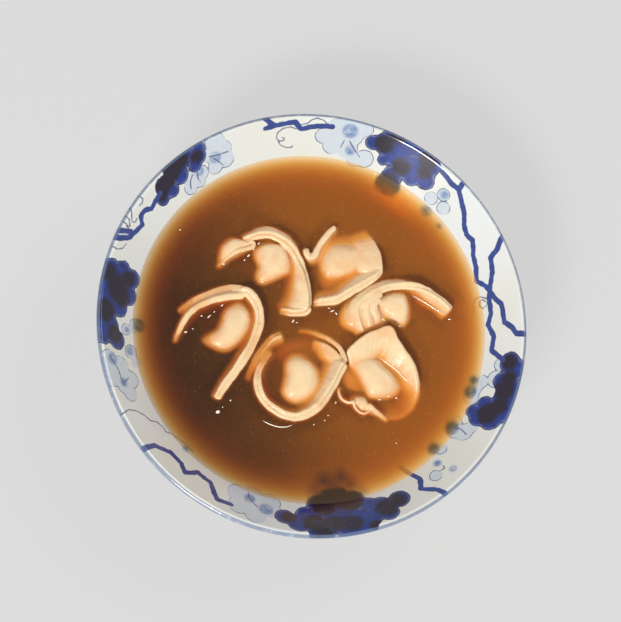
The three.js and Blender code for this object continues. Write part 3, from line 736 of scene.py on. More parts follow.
def spun(name, points, steps):
    """A line through (radius, height) points, spun round the Z axis."""
    mesh = bpy.data.meshes.new(name)
    links = [(i, i + 1) for i in range(len(points) - 1)]
    mesh.from_pydata([(r * MM, 0, z * MM) for r, z in points], links, [])
    line = bpy.data.objects.new(name, mesh)
    bpy.context.scene.collection.objects.link(line)
    with editing(line):
        bpy.ops.mesh.spin(steps=steps, angle=2 * math.pi, center=(0, 0, 0), axis=(0, 0, 1))
        bpy.ops.mesh.select_all(action="SELECT")
        bpy.ops.mesh.remove_doubles(threshold=2e-6)
    return line


# Small tools for materials


def new_material(name):
    material = bpy.data.materials.new(name)
    material.use_nodes = True
    material.node_tree.nodes.clear()
    return material, material.node_tree


def add(tree, kind, inputs=None, **settings):
    """A new node: inputs maps a socket's name or number to a value or to another node's output."""
    made = tree.nodes.new(kind)
    for key, value in settings.items():
        setattr(made, key, value)
    for key, value in (inputs or {}).items():
        socket = made.inputs[key]
        if isinstance(value, bpy.types.NodeSocket):
            tree.links.new(value, socket)
        else:
            socket.default_value = value
    return made


def principled(tree, inputs):
    """A Principled shader as the material's surface."""
    shader = add(tree, "ShaderNodeBsdfPrincipled", inputs)
    add(tree, "ShaderNodeOutputMaterial", {"Surface": shader.outputs[0]})


def calc(tree, operation, *values):
    return add(tree, "ShaderNodeMath", dict(enumerate(values)), operation=operation).outputs[0]


def times(tree, first, second):
    return calc(tree, "MULTIPLY", first, second)


def plus(tree, first, second):
    return calc(tree, "ADD", first, second)


def ramp(tree, value, start, end):
    """0 at start and 1 at end, with a soft change between."""
    inputs = {"Value": value, "From Min": start, "From Max": end}
    return add(tree, "ShaderNodeMapRange", inputs, interpolation_type="SMOOTHSTEP").outputs[0]


def blend(tree, share, first, second):
    mix = add(tree, "ShaderNodeMix", data_type="RGBA")
    for socket, value in ((mix.inputs[0], share), (mix.inputs[6], first), (mix.inputs[7], second)):
        if isinstance(value, bpy.types.NodeSocket):
            tree.links.new(value, socket)
        elif isinstance(value, float):
            socket.default_value = value
        else:
            socket.default_value = (*value[:3], 1.0)
    return mix.outputs[2]


def noise(tree, where, scale, detail=2.0, roughness=0.5):
    inputs = {"Vector": where, "Scale": scale, "Detail": detail, "Roughness": roughness}
    return add(tree, "ShaderNodeTexNoise", inputs).outputs[0]


def attribute_axes(tree, name):
    source = add(tree, "ShaderNodeAttribute", attribute_name=name)
    return add(tree, "ShaderNodeSeparateXYZ", {0: source.outputs["Vector"]}).outputs


# The bowl


def inner_radius(z):
    """The bowl's inner radius at a height, in millimetres."""
    return FLOOR_RADIUS + math.sqrt(max(INNER_ARC**2 - (FLOOR_HEIGHT + INNER_ARC - z) ** 2, 0))


def bowl_profiles():
    """The section's three stretches: the inside up to the painted band, the band, and from the lip down."""
    centre = (FLOOR_RADIUS, FLOOR_HEIGHT + INNER_ARC)
    outer_arc = INNER_ARC + WALL
    lip = (RIM_RADIUS - LIP_RADIUS, BOWL_HEIGHT - LIP_RADIUS)

    def on_arc(radius, turn):
        return (centre[0] + radius * math.sin(turn), centre[1] - radius * math.cos(turn))

    def on_lip(turn):
        return (lip[0] + LIP_RADIUS * math.sin(turn), lip[1] + LIP_RADIUS * math.cos(turn))

    def foot_corner(edge, outwards, degrees):
        """Points on the rounding under the foot ring, whose middle lies one rounding in from an edge."""
        middle = edge - outwards * FOOT_ROUNDING
        for turn in np.radians(degrees):
            x = middle + outwards * FOOT_ROUNDING * math.cos(turn)
            yield (x, FOOT_ROUNDING - FOOT_ROUNDING * math.sin(turn))

    low_turn = WALL_ANGLE + BAND_LOW / INNER_ARC
    inside = [(r, FLOOR_HEIGHT) for r in np.linspace(0, FLOOR_RADIUS, 10)[:-1]]
    inside += [on_arc(INNER_ARC, turn) for turn in np.linspace(0, low_turn, 24)]
    curved_rows = 1 + round(-BAND_LOW / BAND_STEP)
    band = [on_arc(INNER_ARC, turn) for turn in np.linspace(low_turn, WALL_ANGLE, curved_rows)]
    knee = np.array(band[-1])
    touch = np.array(on_lip(-WALL_SLOPE))
    rows = round(float(np.linalg.norm(touch - knee)) / BAND_STEP)
    band += [tuple(knee + (touch - knee) * i / rows) for i in range(1, rows)]
    band += [on_lip(turn) for turn in np.linspace(-WALL_SLOPE, math.radians(75), 8)]
    outside = [on_lip(turn) for turn in np.radians([80, 100, 118])]
    foot_top = math.asin((FOOT_RADIUS - FLOOR_RADIUS) / outer_arc)
    foot_inner_top = math.asin((FOOT_INNER_RADIUS - FLOOR_RADIUS) / outer_arc)
    outside += [on_arc(outer_arc, turn) for turn in np.linspace(WALL_ANGLE, foot_top + 0.02, 26)]
    top = on_arc(outer_arc, foot_top)
    outside += [(top[0] - 0.25, top[1] - 0.35), (FOOT_RADIUS - 0.35, 4.0)]
    outside += foot_corner(FOOT_RADIUS - 0.5, 1, [0, 30, 60, 90])
    outside += foot_corner(FOOT_INNER_RADIUS, -1, [90, 60, 30, 0])
    under = on_arc(outer_arc, foot_inner_top)
    outside += [(FOOT_INNER_RADIUS, under[1] - 0.7), (FOOT_INNER_RADIUS - 0.3, under[1] - 0.2)]
    outside += [on_arc(outer_arc, turn) for turn in np.linspace(foot_inner_top - 0.02, 0, 6)]
    outside += [(r, FLOOR_HEIGHT - WALL) for r in np.linspace(FLOOR_RADIUS, 0, 8)[1:]]
    return inside, band, outside


def round_the_wall(difference):
    """A distance along the wall, taken the short way round."""
    return (difference + FULL_TURN / 2) % FULL_TURN - FULL_TURN / 2


def to_line(points, u, v):
    """Distance in millimetres from each place on the unrolled wall to a line drawn through points."""
    nearest = np.full(u.shape, 1e3)
    drawn = [(degrees * MM_PER_DEGREE, share * WALL_LENGTH) for degrees, share in points]
    for (ax, ay), (bx, by) in zip(drawn, drawn[1:]):
        length = (bx - ax) ** 2 + (by - ay) ** 2
        du, dv = round_the_wall(u - ax), v - ay
        share = np.clip((du * (bx - ax) + dv * (by - ay)) / length, 0, 1)
        nearest = np.minimum(nearest, np.hypot(du - share * (bx - ax), dv - share * (by - ay)))
    return nearest


def to_lines(lines, u, v):
    return np.min([to_line(points, u, v) for points in lines], axis=0)


def to_rounds(rounds, u, v, melt=0.4):
    """Signed distance in millimetres to a set of rounds that melt into each other, below 0 inside one."""
    nearest = np.full(u.shape, 1e3)
    for degrees, share, radius in rounds:
        across = round_the_wall(u - degrees * MM_PER_DEGREE)
        distance = np.hypot(across, v - share * WALL_LENGTH) - radius
        share_of_both = np.clip(0.5 + 0.5 * (nearest - distance) / melt, 0, 1)
        nearest = nearest + (distance - nearest) * share_of_both - melt * share_of_both * (1 - share_of_both)
    return nearest


def paint_vine(bowl):
    """Writes how far each place of the wall lies from the painted shapes, for the glaze's material."""
    at = places(bowl) / MM
    radius = np.hypot(at[:, 0], at[:, 1])
    sine, cosine = math.sin(WALL_SLOPE), math.cos(WALL_SLOPE)
    knee = FLOOR_RADIUS + INNER_ARC * math.sin(WALL_ANGLE)
    along_wall = (radius - knee) * cosine + (at[:, 2] - LEVEL) * sine
    off_wall = (radius - knee) * sine - (at[:, 2] - LEVEL) * cosine
    painted = (along_wall > BAND_LOW - 1) & (off_wall < 1.6)
    u = (np.degrees(np.arctan2(at[painted, 1], at[painted, 0])) % 360) * MM_PER_DEGREE
    v = along_wall[painted]
    shapes = {
        "strokes": [
            to_lines(BRANCHES, u, v) - BRANCH_HALF,
            to_lines(TENDRILS, u, v) - TENDRIL_HALF,
            to_rounds(DARK_LEAVES["lobes"], u, v, 1.2),
        ],
        "fills": [
            to_rounds(DARK_LEAVES["cores"], u, v, 1.6),
            to_rounds(LIGHT_LEAVES["lobes"], u, v),
            to_rounds(LIGHT_LEAVES["patches"], u, v),
        ],
    }
    for name, distances in shapes.items():
        values = np.full((len(at), 3), PAINT_REACH)
        values[painted] = np.clip(np.stack(distances, axis=1), -PAINT_REACH, PAINT_REACH)
        set_attribute(bowl, name, values)


def glaze_material(settings):
    """White glaze over blue paint: dark leaves, pale outlined ones, branches, tendrils and a rim line."""
    material, tree = new_material("blue_and_white_glaze")
    here = add(tree, "ShaderNodeTexCoord").outputs["Object"]
    branch, line, leaf = attribute_axes(tree, "strokes")
    core, wash, patch = attribute_axes(tree, "fills")
    brush = times(tree, calc(tree, "SUBTRACT", noise(tree, here, 420.0, 4.0, 0.6), 0.5), 1.3)
    pool = noise(tree, here, 420.0, 4.0, 0.6)
    speck = noise(tree, here, 2600.0, 2.0)

    def wavering(distance, share):
        return plus(tree, distance, times(tree, brush, share))

    broad = noise(tree, here, 25.0, 3.0)
    warm = (0.98 * settings.glaze[0], 0.95 * settings.glaze[1], 0.87 * settings.glaze[2])
    colour = blend(tree, ramp(tree, broad, 0.35, 0.7), settings.glaze, warm)
    inside_wash = ramp(tree, wavering(wash, 0.5), 0.14, -0.1)
    thin = times(tree, inside_wash, plus(tree, 0.35, times(tree, pool, 0.75)))
    colour = blend(tree, thin, colour, settings.wash)
    mid_blue = srgb(92, 124, 176)
    in_patch = times(tree, ramp(tree, wavering(patch, 1.4), 0.35, -0.9), ramp(tree, pool, 0.15, 0.75))
    colour = blend(tree, in_patch, colour, mid_blue)
    edge = calc(tree, "ABSOLUTE", wavering(wash, 0.4))
    broken = ramp(tree, noise(tree, here, 160.0, 2.0), 0.36, 0.56)
    colour = blend(tree, times(tree, ramp(tree, edge, 0.26, 0.05), broken), colour, srgb(84, 98, 130))
    deep = wavering(leaf, 0.9)
    in_leaf = ramp(tree, deep, 0.12, -0.12)
    light_cobalt = tuple(0.45 * a + 0.55 * b for a, b in zip(settings.wash, settings.cobalt))
    leaf_colour = blend(tree, ramp(tree, deep, -0.1, -1.1), light_cobalt, settings.cobalt)
    leaf_colour = blend(tree, ramp(tree, pool, 0.3, 0.7), leaf_colour, srgb(32, 44, 104))
    leaf_colour = blend(tree, ramp(tree, wavering(core, 3.0), 1.5, -0.5), leaf_colour, settings.ink)
    colour = blend(tree, in_leaf, colour, leaf_colour)
    edge = calc(tree, "ABSOLUTE", plus(tree, deep, 0.14))
    colour = blend(tree, times(tree, ramp(tree, edge, 0.3, 0.08), 0.85), colour, srgb(32, 40, 92))
    branch_colour = blend(tree, pool, srgb(40, 48, 104), srgb(60, 84, 160))
    colour = blend(tree, ramp(tree, wavering(branch, 0.8), 0.16, -0.14), colour, branch_colour)
    in_tendril = ramp(tree, wavering(line, 0.3), 0.16, -0.1)
    colour = blend(tree, times(tree, in_tendril, 0.85), colour, srgb(58, 72, 122))
    axes = add(tree, "ShaderNodeSeparateXYZ", {0: here}).outputs
    squares = plus(tree, calc(tree, "POWER", axes[0], 2.0), calc(tree, "POWER", axes[1], 2.0))
    from_axis = calc(tree, "SQRT", squares)
    beyond = ramp(tree, from_axis, 73.55 * MM, 74.05 * MM)
    above = ramp(tree, axes[2], 33.9 * MM, 34.5 * MM)
    rim = times(tree, times(tree, beyond, above), ramp(tree, pool, 0.1, 0.5))
    colour = blend(tree, times(tree, rim, 0.8), colour, srgb(96, 112, 146))
    bare = ramp(tree, axes[2], 1.35 * MM, 1.1 * MM)
    colour = blend(tree, bare, colour, blend(tree, speck, srgb(196, 182, 158), srgb(222, 212, 194)))
    rough = add(tree, "ShaderNodeMapRange", {"Value": bare, "To Min": 0.16, "To Max": 0.75}).outputs[0]
    waves = noise(tree, here, 60.0, 2.0)
    ripple = add(tree, "ShaderNodeBump", {"Height": waves, "Strength": 0.12, "Distance": 0.6 * MM})
    inputs = {
        "Base Color": colour,
        "Roughness": rough,
        "Normal": ripple.outputs[0],
        "IOR": 1.5,
        "Coat Weight": 0.35,
        "Coat Roughness": 0.03,
    }
    principled(tree, inputs)
    return material


class TORTELLINI_OT_bowl(bpy.types.Operator):
    """Spin the porcelain bowl and paint its vine"""

    bl_idname = "tortellini.bowl"
    bl_label = "Bowl"

    def execute(self, context):
        settings = context.scene.tortellini_bowl
        inside, band, outside = bowl_profiles()
        bowl = join(
            "porcelain_bowl",
            [
                spun("painted_band", band, BAND_COLUMNS),
                spun("inside", inside, settings.outer_facets),
                spun("outside", outside, settings.outer_facets),
            ],
        )
        for rings in ((inside[-1], band[0]), (band[-1], outside[0])):
            self.bridge(bowl, rings)
        with editing(bowl):
            bpy.ops.mesh.remove_doubles(threshold=2e-6)
            bpy.ops.mesh.normals_make_consistent(inside=False)
        bpy.ops.object.shade_smooth_by_angle(angle=math.radians(50))
        paint_vine(bowl)
        bowl.data.materials.append(glaze_material(settings))
        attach(bowl, "root")
        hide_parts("bowl")
        return {"FINISHED"}

    def bridge(self, bowl, rings):
        """Joins the open rings at two points of the section."""
        with editing(bowl, "DESELECT"):
            bpy.ops.mesh.select_mode(type="EDGE")
            mesh = bmesh.from_edit_mesh(bowl.data)
            for edge in mesh.edges:
                if edge.is_boundary:
                    x, y, z = edge.verts[0].co / MM
                    edge.select_set(any(math.dist((math.hypot(x, y), z), ring) < SAME_RING for ring in rings))
            bmesh.update_edit_mesh(bowl.data)
            bpy.ops.mesh.bridge_edge_loops()


# The tortellini


def strip_sections(form, rng):
    """The closed outlines along one strip of double dough, and its cut edge with each station's facts."""
    edge = np.array(form["edge"], float)
    coarse = smooth_line(edge, np.linspace(0, len(edge) - 1, 400))
    length = np.linalg.norm(np.diff(coarse, axis=0), axis=1).sum()
    count = max(int(length / STATION), 12)
    where = np.linspace(0, len(edge) - 1, count)
    line = smooth_line(edge, where)
    along = np.concatenate([[0], np.cumsum(np.linalg.norm(np.diff(line, axis=0), axis=1))])
    level = line * (1, 1, 0)
    way = directions(level)
    across = np.stack([-way[:, 1], way[:, 0], np.zeros(count)], axis=1) * form["side"]
    walls = np.array(form["walls"], float)
    steps = np.linspace(0, len(walls) - 1, count)
    mixed = np.stack([np.interp(steps, range(len(walls)), walls[:, k]) for k in range(5)], axis=1)
    if form["knees"]:
        reach = smooth_line(form["knees"], where) - line
        mixed[:, 2] = -reach[:, 2]
        mixed[:, 1] = np.linalg.norm(reach[:, :2], axis=1)
        across = reach * (1, 1, 0) / mixed[:, 1:2]
    span = 31 if form["knees"] else 9
    mixed = calmed(calmed(mixed, span), 9)
    across = calmed(calmed(across, span), 9)
    across /= np.linalg.norm(across, axis=1, keepdims=True)
    layered = walls[:, 0].max() >= TWO_LAYERS_FROM
    line[:, 2] += 0.16 * wander(along, rng, 13)
    line[:, :2] += across[:, :2] * 0.09 * wander(along, rng, 11)[:, None]
    lips = 0.14 * wander(along, rng, 16)
    grooves = np.clip(0.75 + 0.5 * wander(along, rng, 23), 0.15, 1)
    from_end = np.minimum(along, along[-1] - along) + 0.02
    rounding = np.sqrt(1 - (1 - np.minimum(from_end / END_ROUNDING, 1)) ** 2)
    thick = mixed[:, 0] * (1 + 0.05 * wander(along, rng, 11)) * rounding
    line[:, 2] -= 0.5 * (1 - rounding)
    sections = []
    for i in range(count):
        knee = np.array([mixed[i, 1], -mixed[i, 2]])
        foot = knee + (mixed[i, 3], -mixed[i, 4])
        outline = wall_outline(knee, foot, thick[i] / 2, layered * grooves[i], lips[i])
        place = line[i] + (0, 0, LEVEL)
        sections.append(place + outline[:, :1] * across[i] + outline[:, 1:] * np.array([0, 0, 1.0]))
    return np.array(sections) * MM, (line + (0, 0, LEVEL), across, along, thick / 2, layered)


# A section's points: across the cut edge, from -1 to 1 and closest at the groove, and down each face
CAP_HALF = np.array([0.05, 0.11, 0.19, 0.3, 0.46, 0.64, 0.82, 0.94, 1])
CAP = np.concatenate([-CAP_HALF[::-1], [0], CAP_HALF])
DOWN = np.linspace(0.1, 1, 11)


def wall_outline(knee, foot, half, layered, lip):
    """A strip's outline, seen along it: over the cut edge, down the inner face and back up the outer one."""
    middle = smooth_line([(0, 0), knee, foot], np.linspace(0, 2, 41))
    way = directions(middle)
    shares = np.linspace(0, 1, 41)
    inwards = np.stack([-way[:, 1], way[:, 0]], axis=1)
    taper = np.interp(shares, [0, 0.5, 1], [1, 0.92, 0.7]) * half
    rounding = 0.32 * half
    if layered:
        height = rounding * (1 - np.abs(2 * np.abs(CAP) - 1) ** 3)
        groove = GROOVE_DEPTH * layered * np.exp(-((CAP * half / GROOVE_WIDTH) ** 2))
        height += lip * np.tanh(3 * CAP) - groove
    else:
        height = 1.4 * rounding * (1 - np.abs(CAP) ** 2.6)
    cap = CAP[:, None] * half * inwards[0] - height[:, None] * way[0]
    down = np.array([middle[i] + inwards[i] * taper[i] for i in np.rint(DOWN * 40).astype(int)])
    up = np.array([middle[i] - inwards[i] * taper[i] for i in np.rint(DOWN[::-1] * 40).astype(int)])
    return np.concatenate([cap, down, up])


def boxy(turn, squareness):
    """A circle's two coordinates, or a rounded square's where squareness is above 2."""
    sine, cosine = np.sin(turn), np.cos(turn)
    power = 2 / squareness
    return np.sign(cosine) * np.abs(cosine) ** power, np.sign(sine) * np.abs(sine) ** power


def bulge_sections(form, stations=30, sides=40):
    """Sections of a rounded, somewhat square body along its spine."""
    squareness = 2.5
    spine = np.array([(*p, 0) for p in form["spine"]], float)
    t = (1 - np.cos(math.pi * (np.arange(stations) + 0.5) / stations)) / 2
    fullness = (1 - np.abs(2 * t - 1) ** squareness) ** (1 / squareness)
    line = smooth_line(spine, t * (len(spine) - 1))
    fine = smooth_line(spine, np.linspace(0, len(spine) - 1, 201))
    way = directions(fine)[np.rint(t * 200).astype(int)]
    turn = 2 * math.pi * np.arange(sides) / sides
    boxy_x, boxy_y = boxy(turn, squareness)
    middle = (form["top"] + form["bottom"]) / 2
    rise = (form["top"] - form["bottom"]) / 2
    sections = []
    for i in range(stations):
        across = np.array([-way[i, 1], way[i, 0], 0])
        x = form["half"] * fullness[i] * boxy_x
        y = middle + rise * fullness[i] ** 0.7 * boxy_y
        sections.append(line[i] + (0, 0, LEVEL) + x[:, None] * across + y[:, None] * np.array([0, 0, 1.0]))
    return np.array(sections) * MM


def mound_sections(form, rows=40, sides=48):
    """Sections of a hump whose outline at the broth's level runs through the stations' side points."""
    stations = np.array(form["stations"], float)
    t = (1 - np.cos(math.pi * (np.arange(rows) + 0.5) / rows)) / 2
    where = t * (len(stations) - 1)
    left = smooth_line(stations[:, :2], where)
    right = smooth_line(stations[:, 2:4], where)
    top = smooth_line(stations[:, 4:], where)[:, 0]
    fullness = (1 - np.abs(2 * t - 1) ** 3.5) ** (1 / 3.5)
    turn = 2 * math.pi * np.arange(sides) / sides
    sunk = stations[:, 4].max() < 0
    belly = top - 3 if sunk else np.full(rows, -4.0)
    widening = 1.0 if sunk else 1.25
    x, y = boxy(turn, 2.3)
    sections = []
    for i in range(rows):
        middle, half = (left[i] + right[i]) / 2, (left[i] - right[i]) / 2 * widening * fullness[i]
        up = (top[i] - belly[i]) * fullness[i] ** 0.8
        down = (belly[i] - form["bottom"]) * fullness[i] ** 0.8
        z = belly[i] + np.where(y > 0, up, down) * y + LEVEL
        flat = middle + x[:, None] * half
        sections.append(np.stack([flat[:, 0], flat[:, 1], z], axis=1))
    return np.array(sections) * MM


def keep_off_floor(pasta, clearance):
    """Lifts what would reach into the bowl, so that the pasta lies just clear of it."""
    at = places(pasta) / MM
    radius = np.hypot(at[:, 0], at[:, 1])
    reach = np.clip(radius - FLOOR_RADIUS, 0, INNER_ARC * 0.95)
    floor = FLOOR_HEIGHT + INNER_ARC - np.sqrt(INNER_ARC**2 - reach**2)
    at[:, 2] = np.maximum(at[:, 2], floor + clearance)
    set_places(pasta, at * MM)


def cut_from(pasta, neighbour, gap):
    """Cuts a neighbour, grown by a gap, out of the pasta."""
    grown = neighbour.copy()
    grown.data = neighbour.data.copy()
    bpy.context.scene.collection.objects.link(grown)
    apply_modifier(grown, "DISPLACE", strength=gap, mid_level=0.0)
    apply_modifier(pasta, "BOOLEAN", operation="DIFFERENCE", object=grown, solver="MANIFOLD")
    bpy.data.objects.remove(grown)


def touch_boxes(first, second):
    """Whether the boxes round two pieces overlap."""
    a, b = places(first), places(second)
    return bool(np.all(a.min(0) < b.max(0)) and np.all(b.min(0) < a.max(0)))


def mark_edges(pasta, edges):
    """Writes how far along and across the nearest cut edge each place lies, and how that edge is made."""
    stations, facts = [], []
    start = 0.0
    for line, across, along, half, layered in edges:
        for i in range(len(line)):
            stations.append(line[i])
            facts.append((*across[i], along[i] + start, half[i], float(layered)))
        start += along[-1] + 10
    tree = tree_of(stations)
    stations, facts = np.array(stations), np.array(facts)
    at = places(pasta) / MM
    nearest = np.array([tree.find(p)[1] for p in at])
    off = at - stations[nearest]
    fact = facts[nearest]
    side = np.sum(off * fact[:, :3], axis=1)
    set_attribute(pasta, "edge_place", np.stack([fact[:, 3], side, off[:, 2]], axis=1))
    near = np.stack([side / fact[:, 4], np.linalg.norm(off, axis=1), fact[:, 5]], axis=1)
    set_attribute(pasta, "edge_form", near)


def dough_material(settings):
    """Cooked egg dough: creamy and speckled, with painted shade in the groove between its layers, stained at
    the waterline, where painted shade also tans the lower sides.
    """
    material, tree = new_material("cooked_dough")
    here = add(tree, "ShaderNodeTexCoord").outputs["Object"]
    along, side, above = attribute_axes(tree, "edge_place")
    share, away, layered = attribute_axes(tree, "edge_form")
    height = add(tree, "ShaderNodeSeparateXYZ", {0: here}).outputs[2]
    clouds = noise(tree, here, 230.0, 4.0, 0.6)
    fine = noise(tree, here, 1400.0, 3.0)
    speck = noise(tree, here, 1900.0, 1.0)
    lanes = add(
        tree,
        "ShaderNodeCombineXYZ",
        {0: times(tree, along, 0.25), 1: times(tree, side, 3.2), 2: 0.0},
    ).outputs[0]
    streaks = noise(tree, lanes, 1.0, 3.0, 0.55)
    light = tuple(min(1.0, c * 1.06) for c in settings.dough)
    tan = srgb(222, 148, 80)
    colour = blend(tree, ramp(tree, clouds, 0.3, 0.72), settings.dough, light)
    filling = times(tree, ramp(tree, noise(tree, here, 95.0, 3.0), 0.46, 0.7), 0.4)
    colour = blend(tree, filling, colour, tan)
    on_cut = times(tree, ramp(tree, calc(tree, "ABSOLUTE", share), 1.05, 0.8), ramp(tree, away, 2.3, 1.5))
    on_cut = times(tree, on_cut, ramp(tree, above, -1.2, -0.5))
    streaked = times(tree, on_cut, ramp(tree, streaks, 0.35, 0.7))
    colour = blend(tree, times(tree, streaked, 0.45), colour, settings.cut_edge)
    # Painted shade in the groove between the two layers of a cut edge
    groove = times(tree, ramp(tree, calc(tree, "ABSOLUTE", side), 0.42, 0.05), layered)
    groove = times(tree, groove, ramp(tree, away, 1.3, 0.6))
    colour = blend(tree, times(tree, groove, 0.55), colour, srgb(204, 146, 88))
    # Stained by the broth at the waterline, and painted shade that tans the lower sides while the tops stay
    # paler
    soak_and_shade = ramp(tree, height, (LEVEL + 2.4) * MM, (LEVEL - 0.6) * MM)
    colour = blend(tree, times(tree, soak_and_shade, 0.8), colour, tan)
    dots = times(tree, ramp(tree, speck, 0.73, 0.79), 0.4)
    colour = blend(tree, dots, colour, srgb(150, 104, 62))
    bumps = plus(tree, times(tree, clouds, 0.9), times(tree, fine, 0.25))
    bumps = plus(tree, bumps, times(tree, times(tree, streaks, on_cut), 0.5))
    relief = add(tree, "ShaderNodeBump", {"Height": bumps, "Strength": 0.55, "Distance": 0.25 * MM})
    rough = add(tree, "ShaderNodeMapRange", {"Value": clouds, "To Min": 0.32, "To Max": 0.55}).outputs[0]
    inputs = {
        "Base Color": colour,
        "Roughness": rough,
        "Normal": relief.outputs[0],
        "IOR": 1.4,
        "Subsurface Weight": 0.3,
        "Subsurface Radius": (1.0, 0.72, 0.4),
        "Subsurface Scale": 2.0 * MM,
        "Coat Weight": 0.28,
        "Coat Roughness": 0.2,
    }
    principled(tree, inputs)
    return material


class TORTELLINI_OT_pasta(bpy.types.Operator):
    """Fold each tortellino from its strips of double dough and its filled bulges"""

    bl_idname = "tortellini.pasta"
    bl_label = "Tortellini"

    def execute(self, context):
        settings = context.scene.tortellini_pasta
        material = dough_material(settings)
        relief = bpy.data.textures.new("dough_relief", type="CLOUDS")
        relief.noise_scale = 5.5 * MM
        relief.noise_depth = 2
        made = []
        for number, name in enumerate(PASTA_NODES):
            rng = np.random.default_rng(40 + number)
            parts, edges = [], []
            for form in TORTELLINI[name]:
                if "walls" in form:
                    sections, edge = strip_sections(form, rng)
                    edges.append(edge)
                else:
                    sections = mound_sections(form) if "stations" in form else bulge_sections(form)
                parts.append(rolled_sheet(name + "_part", sections))
            pasta = join("folded_" + name, parts)
            apply_modifier(pasta, "REMESH", mode="VOXEL", voxel_size=settings.fineness)
            apply_modifier(pasta, "SMOOTH", factor=0.5, iterations=5)
            uneven = {"texture": relief, "strength": 0.5 * MM, "mid_level": 0.5, "texture_coords": "LOCAL"}
            apply_modifier(pasta, "DISPLACE", **uneven)
            keep_off_floor(pasta, OFF_FLOOR)
            for earlier in made:
                if touch_boxes(pasta, earlier):
                    cut_from(pasta, earlier, APART * MM)
            pick(pasta)
            bpy.ops.object.shade_smooth()
            mark_edges(pasta, edges)
            pasta.data.materials.clear()
            pasta.data.materials.append(material)
            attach(pasta, "root")
            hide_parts(name)
            made.append(pasta)
        return {"FINISHED"}


# The broth


def waterline(pasta, level):
    """Points where the pasta's surface crosses the broth's level."""
    at = places(pasta)
    ends = edge_ends(pasta)
    low, high = at[ends[:, 0]], at[ends[:, 1]]
    crossing = (low[:, 2] - level) * (high[:, 2] - level) < 0
    low, high = low[crossing], high[crossing]
    share = (level - low[:, 2:]) / (high[:, 2:] - low[:, 2:])
    return low + (high - low) * share


def broth_material(settings):
    """Brown broth: murk hides what lies deep, and light that goes through turns golden, then brown.

    The broth is darker towards the lower left: that is painted shade, laid slowly across the bowl into the
    murk's colour.
    """
    material, tree = new_material("brown_broth")
    here = add(tree, "ShaderNodeTexCoord").outputs["Object"]
    clear_share, pasta_shade, paint = attribute_axes(tree, "beneath_and_shade")
    coat = {"Coat Weight": 0.7, "Coat Roughness": 0.02, "Coat IOR": WATER_IOR}
    wet = {"IOR": WATER_IOR, "Specular IOR Level": 0.0, **coat}
    inputs = {
        "Base Color": blend(tree, clear_share, (0.0, 0.0, 0.0), (1.0, 1.0, 1.0)),
        "Roughness": settings.haze,
        "Transmission Weight": 1.0,
        **wet,
    }
    clear = add(tree, "ShaderNodeBsdfPrincipled", inputs)
    # Painted shade: the murk darkens towards the lower left across the bowl, along a wavering edge
    x, y, _ = add(tree, "ShaderNodeSeparateXYZ", {0: here}).outputs
    across = plus(tree, times(tree, x, 0.95), times(tree, y, 0.3))
    drift = times(tree, calc(tree, "SUBTRACT", noise(tree, here, 40.0, 3.0), 0.5), 22 * MM)
    painted_lit_side = ramp(tree, plus(tree, across, drift), -52 * MM, 22 * MM)
    colour = blend(tree, painted_lit_side, settings.shaded_murk, settings.murk)
    # Painted shade between pieces of pasta, darker where they close the broth in
    dark = tuple(0.35 * c for c in settings.shaded_murk)
    colour = blend(tree, times(tree, pasta_shade, 0.75), colour, dark)
    # The lighter grains and the flecks also dim in that painted shade
    grainy = times(tree, ramp(tree, noise(tree, here, 1700.0, 2.0), 0.35, 0.75), 0.2)
    grainy = times(tree, grainy, plus(tree, times(tree, painted_lit_side, 0.7), 0.3))
    colour = blend(tree, grainy, colour, tuple(1.5 * c for c in settings.murk))
    flecks = add(tree, "ShaderNodeTexVoronoi", {"Vector": here, "Scale": 620.0}, feature="F1")
    chance = add(tree, "ShaderNodeSeparateColor", {0: flecks.outputs["Color"]}).outputs[0]
    dot = ramp(tree, flecks.outputs["Distance"], 0.3, 0.1)
    fleck = times(tree, calc(tree, "GREATER_THAN", chance, 0.78), dot)
    seen = plus(tree, times(tree, painted_lit_side, 0.25), 0.1)
    colour = blend(tree, times(tree, fleck, seen), colour, (0.9, 0.45, 0.16))
    # Painted shade: the shallow edge is darker towards the lower left too
    thin = blend(tree, painted_lit_side, tuple(0.42 * c for c in settings.thin_murk), settings.thin_murk)
    colour = blend(tree, clear_share, colour, thin)
    colour = blend(tree, times(tree, paint, 0.95), colour, (0.04, 0.038, 0.018))
    cloudy = add(tree, "ShaderNodeBsdfPrincipled", {"Base Color": colour, "Roughness": 0.6, **wet})
    both = {0: settings.cloudiness, 1: clear.outputs[0], 2: cloudy.outputs[0]}
    liquid = add(tree, "ShaderNodeMixShader", both)
    lamps = add(tree, "ShaderNodeBsdfTransparent", {0: (1, 1, 1, 1)})
    path = add(tree, "ShaderNodeLightPath")
    seen_or_lit = {0: path.outputs["Is Camera Ray"], 1: lamps.outputs[0], 2: liquid.outputs[0]}
    surface = add(tree, "ShaderNodeMixShader", seen_or_lit)
    stain = {"Color": (*settings.stain, 1), "Density": settings.density}
    body = add(tree, "ShaderNodeVolumeAbsorption", stain)
    add(tree, "ShaderNodeOutputMaterial", {"Surface": surface.outputs[0], "Volume": body.outputs[0]})
    return material


